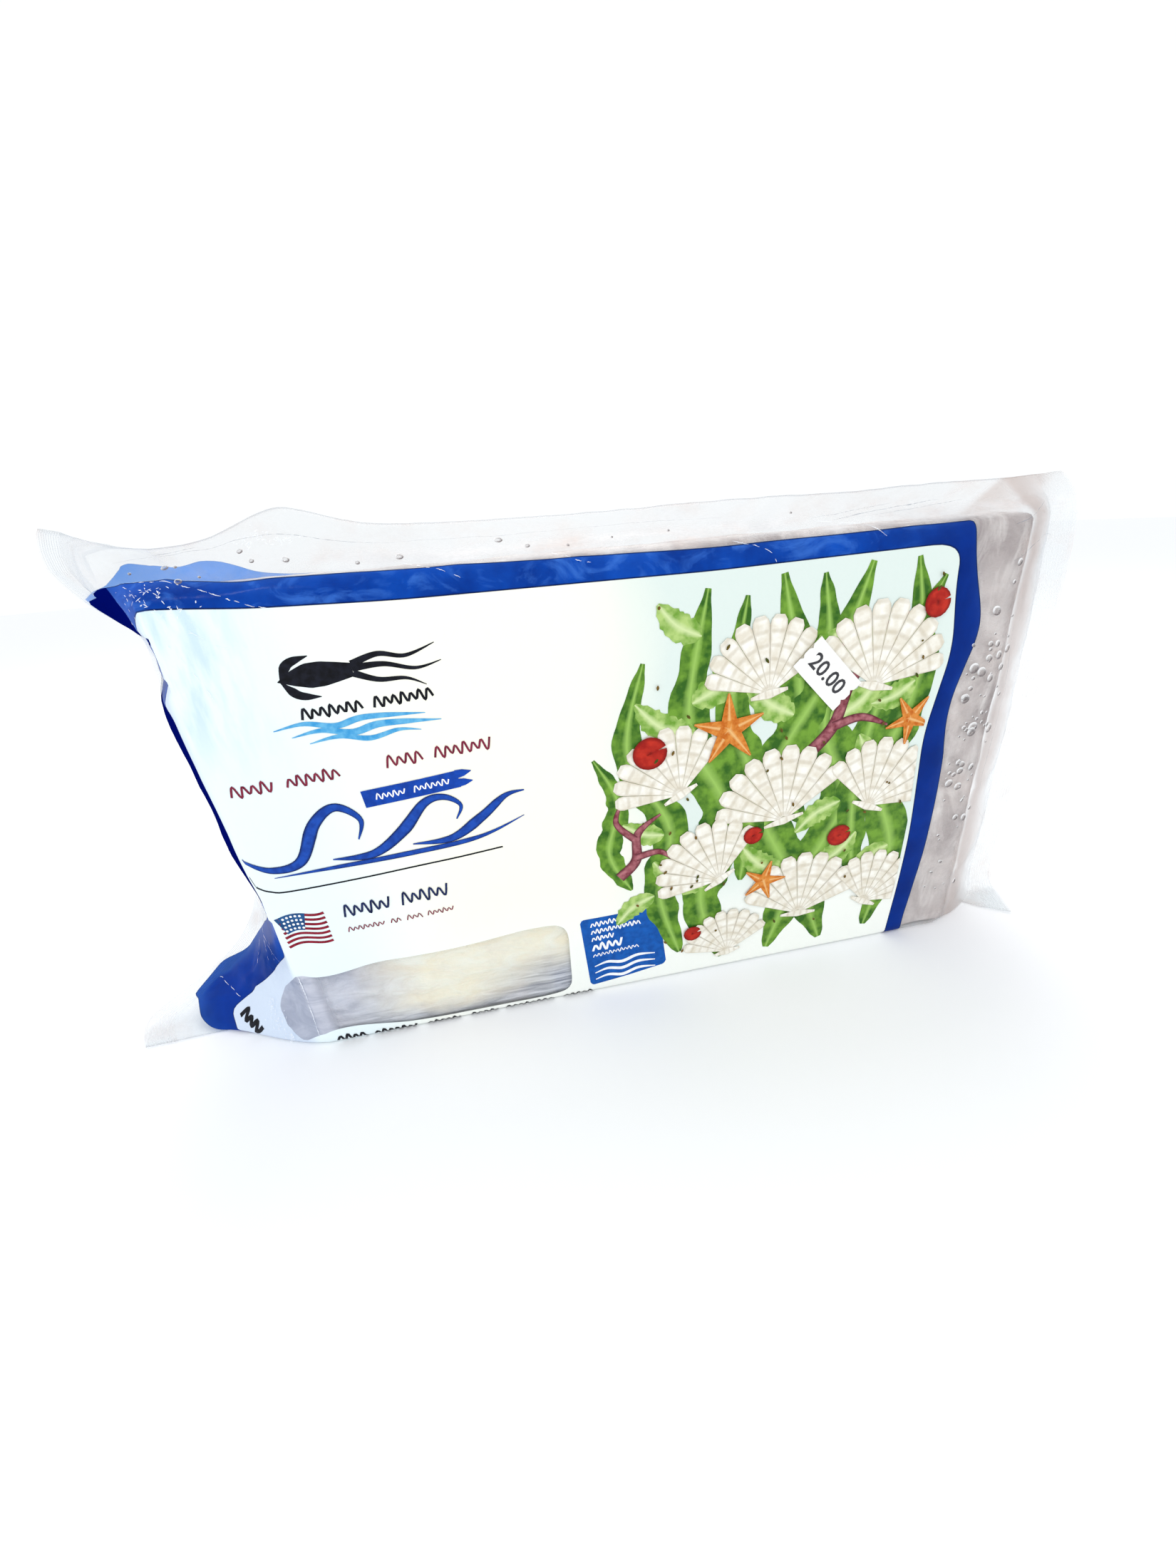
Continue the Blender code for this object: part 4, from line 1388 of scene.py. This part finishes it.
ice = {
    "gap": 0.0005,  # between the film and the block
    "shorter": (0.0012, 0.0010),  # than the film's length and height
    "rounding": 0.0030,  # of the block edges
    "step": 0.0020,
    "lump": (0.0009, 0.024),  # height and size
    "grain": (0.0003, 0.006),
    "roughness": 0.35,
    "through": (0.25, (1.0, 0.8, 0.8), 0.003),  # share of light that enters, how far by colour, m
    "relief": (0.45, 0.0010),
    "steps": (
        ("X", "axis"), ("Z", "axis"),
        ("patches", "noise", (26.3, 16.7, 33.3), 0.34, 0.66, 5.0, 0.62, 0.6),
        ("folds", "noise", (7.7, 16.7, 23.8), 0.50, 0.68, 4.0, 0.62, 0.8, -0.7),
        ("mottle", "noise", (13.3, 16.7, 5.9), 0.34, 0.66, 5.0, 0.62, 0.7),
        ("streaks", "noise", (22.2, 16.7, 1.92), 0.38, 0.62, 6.0, 0.62, 0.9),
        ("wavy", "noise", 33.3, 0.0, 1.0, 3.0, 0.62),
        ("fine", "noise", 3.1, 0.0, 1.0, 4.0, 0.62),
        # where its kinds of surface lie, in m from the origin
        ("shifted", "MULTIPLY_ADD", "wavy", 0.034, "X"), ("raised", "MULTIPLY_ADD", "wavy", 0.022, "Z"),
        ("toWarm", "LINEAR", "shifted", -0.094, -0.066, 1.0),
        ("nearRight", "LINEAR", "shifted", -0.050, -0.026, 1.0),
        ("lower", "LINEAR", "raised", 0.036, 0.020, 1.0),
        ("lowest", "LINEAR", "raised", 0.024, 0.016, 0.9),
        ("beyond", "LINEAR", "X", -0.020, 0.020, 1.0),
        ("above", "LINEAR", "Z", 0.045, 0.070, 1.0),
        ("toRidged", "MULTIPLY", "nearRight", "lower"), ("toRidged", "MAXIMUM", "toRidged", "lowest"),
        ("toFlesh", "MAXIMUM", "beyond", "above"), ("toFolds", "MULTIPLY", "folds", 0.6),
        ("warm", "layers", "#FFF3DA", "mottle", "#FFFCEC"),
        ("ridged", "layers", "#7A7F90", "streaks", "#DCDEE7"),
        ("flesh", "layers", "#9C8E8D", "patches", "#E4DAD6", "toFolds", "#F4EDE9"),
        ("tone", "layers", "#A9ADBE", "mottle", "#D8DAE6", "toWarm", "warm", "toRidged", "ridged",
            "toFlesh", "flesh"),
        ("height", "ADD", "fine", "mottle"),
    ),
}


def buildBlock():
    length = film["length"] - ice["shorter"][0]
    height = film["height"] - ice["shorter"][1]
    depth = film["depth"] - 2 * ice["gap"]
    deselectAll()
    bpy.ops.mesh.primitive_cube_add(size=1, location=(0, 0, height / 2 + ice["gap"]))
    block = bpy.context.object
    block.name = "frozen_squid_block"
    block.scale = (length, depth, height)
    bpy.ops.object.transform_apply(location=True, rotation=False, scale=True)
    makeActive(block)
    rounding = block.modifiers.new("rounding", "BEVEL")
    rounding.width = ice["rounding"]
    rounding.segments = 3
    bpy.ops.object.modifier_apply(modifier=rounding.name)
    remesh = block.modifiers.new("even", "REMESH")
    remesh.mode = "VOXEL"
    remesh.voxel_size = ice["step"]
    bpy.ops.object.modifier_apply(modifier=remesh.name)
    half = film["length"] / 2
    for vert in block.data.vertices:
        spot = vert.co.copy()
        lump = noise.noise(spot / ice["lump"][1]) * ice["lump"][0]
        grain = noise.noise(spot / ice["grain"][1]) * ice["grain"][0]
        leftward = film["leftLean"] * max(0.0, -spot.x / half) ** 2
        nearRight = max(0.0, (spot.x - half) / film["rightRounding"][0] + 1)
        spot.x += leftward * (film["leanStart"] - spot.z / film["height"])
        limit = depth / 2 - film["rightRounding"][1] * nearRight
        spot.y = min(limit, max(-limit, spot.y))
        vert.co = spot - vert.normal * (abs(lump) + abs(grain))
    bpy.ops.object.shade_smooth()
    return block


def iceMaterial():
    # Frozen cleaned squid: pinkish flesh under frosted ice. Its face in the window is milky,
    # warm in the middle, and cool and ridged at the left, low down and at the right
    made, tree = newMaterial("frozen squid")
    parts = addSteps(tree, ice["steps"])
    strength, distance = ice["relief"]
    bump = addNode(tree, "Bump", {"Strength": strength, "Distance": distance, "Height": parts["height"]})
    weight, radius, scale = ice["through"]
    body = addNode(tree, "BsdfPrincipled", {
        "Base Color": parts["tone"],
        "Roughness": ice["roughness"],
        "Subsurface Weight": weight,
        "Subsurface Radius": radius,
        "Subsurface Scale": scale,
        "Normal": bump,
    })
    addNode(tree, "OutputMaterial", {"Surface": body})
    return made


block = buildBlock()
finishPiece(block, iceMaterial())
print("block done:", len(block.data.polygons))


# Air bubbles between the film and the block

bubbles = {
    "seed": 7,
    # how many, in which u and v: down the clear strip, closer in its middle, along the top
    "places": (
        (34, (233, 251), (12, 140)), (44, (233, 250), (56, 118)), (16, (-12, 222), (156.6, 164)),
    ),
    "radius": (0.42, 1.9),  # mm
    "fewBig": 2.5,  # the higher, the more of them are small
    "widths": (0.75, 1.1),  # to their height
    "depth": 0.28,  # mm
    "sunk": 0.05,
    "faces": (14, 8),
    "lightFrom": (-0.5, 0.0, 0.87),
}


def buildBubbles():
    draw = random.Random(bubbles["seed"])
    least, most = bubbles["radius"]
    deselectAll()
    bpy.ops.mesh.primitive_uv_sphere_add(
        segments=bubbles["faces"][0], ring_count=bubbles["faces"][1], radius=1.0,
    )
    first = bpy.context.object
    made = []
    for count, across, up in bubbles["places"]:
        for _ in range(count):
            u, v = draw.uniform(*across), draw.uniform(*up)
            size = least + (most - least) * draw.random() ** bubbles["fewBig"]
            bubble = first.copy()
            bubble.data = first.data.copy()
            bpy.context.scene.collection.objects.link(bubble)
            middle = onFilm(u, v, -bubbles["sunk"])
            normal = (onFilm(u, v, 1.0) - onFilm(u, v, 0.0)).normalized()
            side = normal.orthogonal().normalized()
            other = normal.cross(side)
            wide, tall = size * draw.uniform(*bubbles["widths"]) * mm, size * mm
            bow = bubble.data.attributes.new("bow", "FLOAT", "POINT").data
            upward = bubble.data.attributes.new("upward", "FLOAT", "POINT").data
            for vert in bubble.data.vertices:
                x, y, z = vert.co
                bow[vert.index].value = math.hypot(x, y)
                upward[vert.index].value = (side * x + other * y).dot(Vector(bubbles["lightFrom"]))
                vert.co = middle + side * x * wide + other * y * tall + normal * z * bubbles["depth"] * mm
            made.append(bubble)
    bpy.data.objects.remove(first)
    return made


def bubbleMaterial():
    # Air under the film: clear in the middle, with a bright bow on its lit side and a dark
    # one on the other
    made, tree = newMaterial("air bubble under film")
    parts = addSteps(tree, (
        ("bow", "field"), ("rim", "LINEAR", "bow", 0.45, 0.95, 0.95, 0.06),
        ("upward", "field"), ("lit", "LINEAR", "upward", -0.5, 0.45, 1.0),
        ("tone", "layers", "#7D7272", "lit", "#FFFFFF"),
    ))
    clear = addNode(tree, "BsdfTransparent")
    bow = addNode(tree, "BsdfPrincipled", {"Base Color": parts["tone"], "Roughness": 0.06})
    whole = addNode(tree, "MixShader", {0: parts["rim"], 1: clear, 2: bow})
    addNode(tree, "OutputMaterial", {"Surface": whole})
    return made


joinMarks(buildBubbles(), "air_bubbles", bubbleMaterial())
print("bubbles done")


# The price label

label = {
    "middle": (181.8, 111.9),  # u and v, mm
    "size": (22.0, 12.0),
    "turn": math.radians(-47),
    "stand": 0.85,  # mm in front of the film
    "curl": 0.35,
    "thickness": 0.00012,
    "notch": (0.9, 0.17, 0.07),  # its depth in mm, and its place and half width to the label's width
    "steps": (34, 24),  # how finely it is divided
    "number": "20.00",
    "letters": (7.5, 0.12, 0.95),  # height in mm, how bold, and how much it is drawn in
    "inkLift": 0.03,
    "fibre": 0.67,  # mm, coarser than real so that it shows
    "stampWear": 0.56,  # mm
}


def labelPlace(along, across, lift):  # mm along and across the label
    curl = label["curl"] * (abs(along) / (label["size"][0] / 2)) ** 4
    u = label["middle"][0] + along * math.cos(label["turn"]) - across * math.sin(label["turn"])
    v = label["middle"][1] + along * math.sin(label["turn"]) + across * math.cos(label["turn"])
    return onFilm(u, v, label["stand"] + curl + lift)


def buildLabel():
    long, wide = label["size"]
    columns, rows = label["steps"]
    notch, notchPlace, notchHalf = label["notch"]
    deselectAll()
    bpy.ops.mesh.primitive_grid_add(x_subdivisions=columns, y_subdivisions=rows, size=1)
    paper = bpy.context.object
    paper.name = "price_label_paper"
    for vert in paper.data.vertices:
        along, across = vert.co.x * long, vert.co.y * wide
        nearest = min(abs(vert.co.y - notchPlace), abs(vert.co.y + notchPlace))
        if nearest < notchHalf:
            along *= 1 - 2 * notch / long * (1 - nearest / notchHalf)
        vert.co = labelPlace(along, across, 0.0)
    wall = paper.modifiers.new("wall", "SOLIDIFY")
    wall.thickness = label["thickness"]
    wall.offset = -1
    makeActive(paper)
    bpy.ops.object.modifier_apply(modifier=wall.name)
    bpy.ops.object.shade_smooth_by_angle(angle=math.radians(40))

    deselectAll()
    bpy.ops.object.text_add()
    number = bpy.context.object
    number.data.body = label["number"]
    number.data.align_x = "CENTER"
    number.data.align_y = "CENTER"
    number.data.size, number.data.offset, squeeze = label["letters"]
    number.data.resolution_u = 3
    makeActive(number)
    bpy.ops.object.convert(target="MESH")
    number = bpy.context.object
    number.name = "price_label_number"
    for vert in number.data.vertices:
        vert.co = labelPlace(vert.co.x * squeeze, vert.co.y * squeeze, label["inkLift"])
    return paper, number


def labelMaterials():
    made = []
    for name, grain, detail, low, high, roughness, shine in (
        # smooth and matt paper with a trace of fibre, and thin black ink, a little uneven
        ("coated label paper", label["fibre"], 2.0, "#F1EFEA", "#FFFFFD", 0.6, 0.3),
        ("roller stamp ink", label["stampWear"], 3.0, "#0C0C10", "#3C3C44", 0.55, 0.5),
    ):
        look, tree = newMaterial(name)
        steps = (("grain", "noise", grain, 0.0, 1.0, detail), ("tone", "layers", low, "grain", high))
        face = addNode(tree, "BsdfPrincipled", {
            "Base Color": addSteps(tree, steps)["tone"],
            "Roughness": roughness,
            "Specular IOR Level": shine,
        })
        addNode(tree, "OutputMaterial", {"Surface": face})
        made.append(look)
    return made


labelPaper, labelNumber = buildLabel()
for piece, look in zip((labelPaper, labelNumber), labelMaterials()):
    finishPiece(piece, look)
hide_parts("price_label")
print("label done")

print("scene finished")
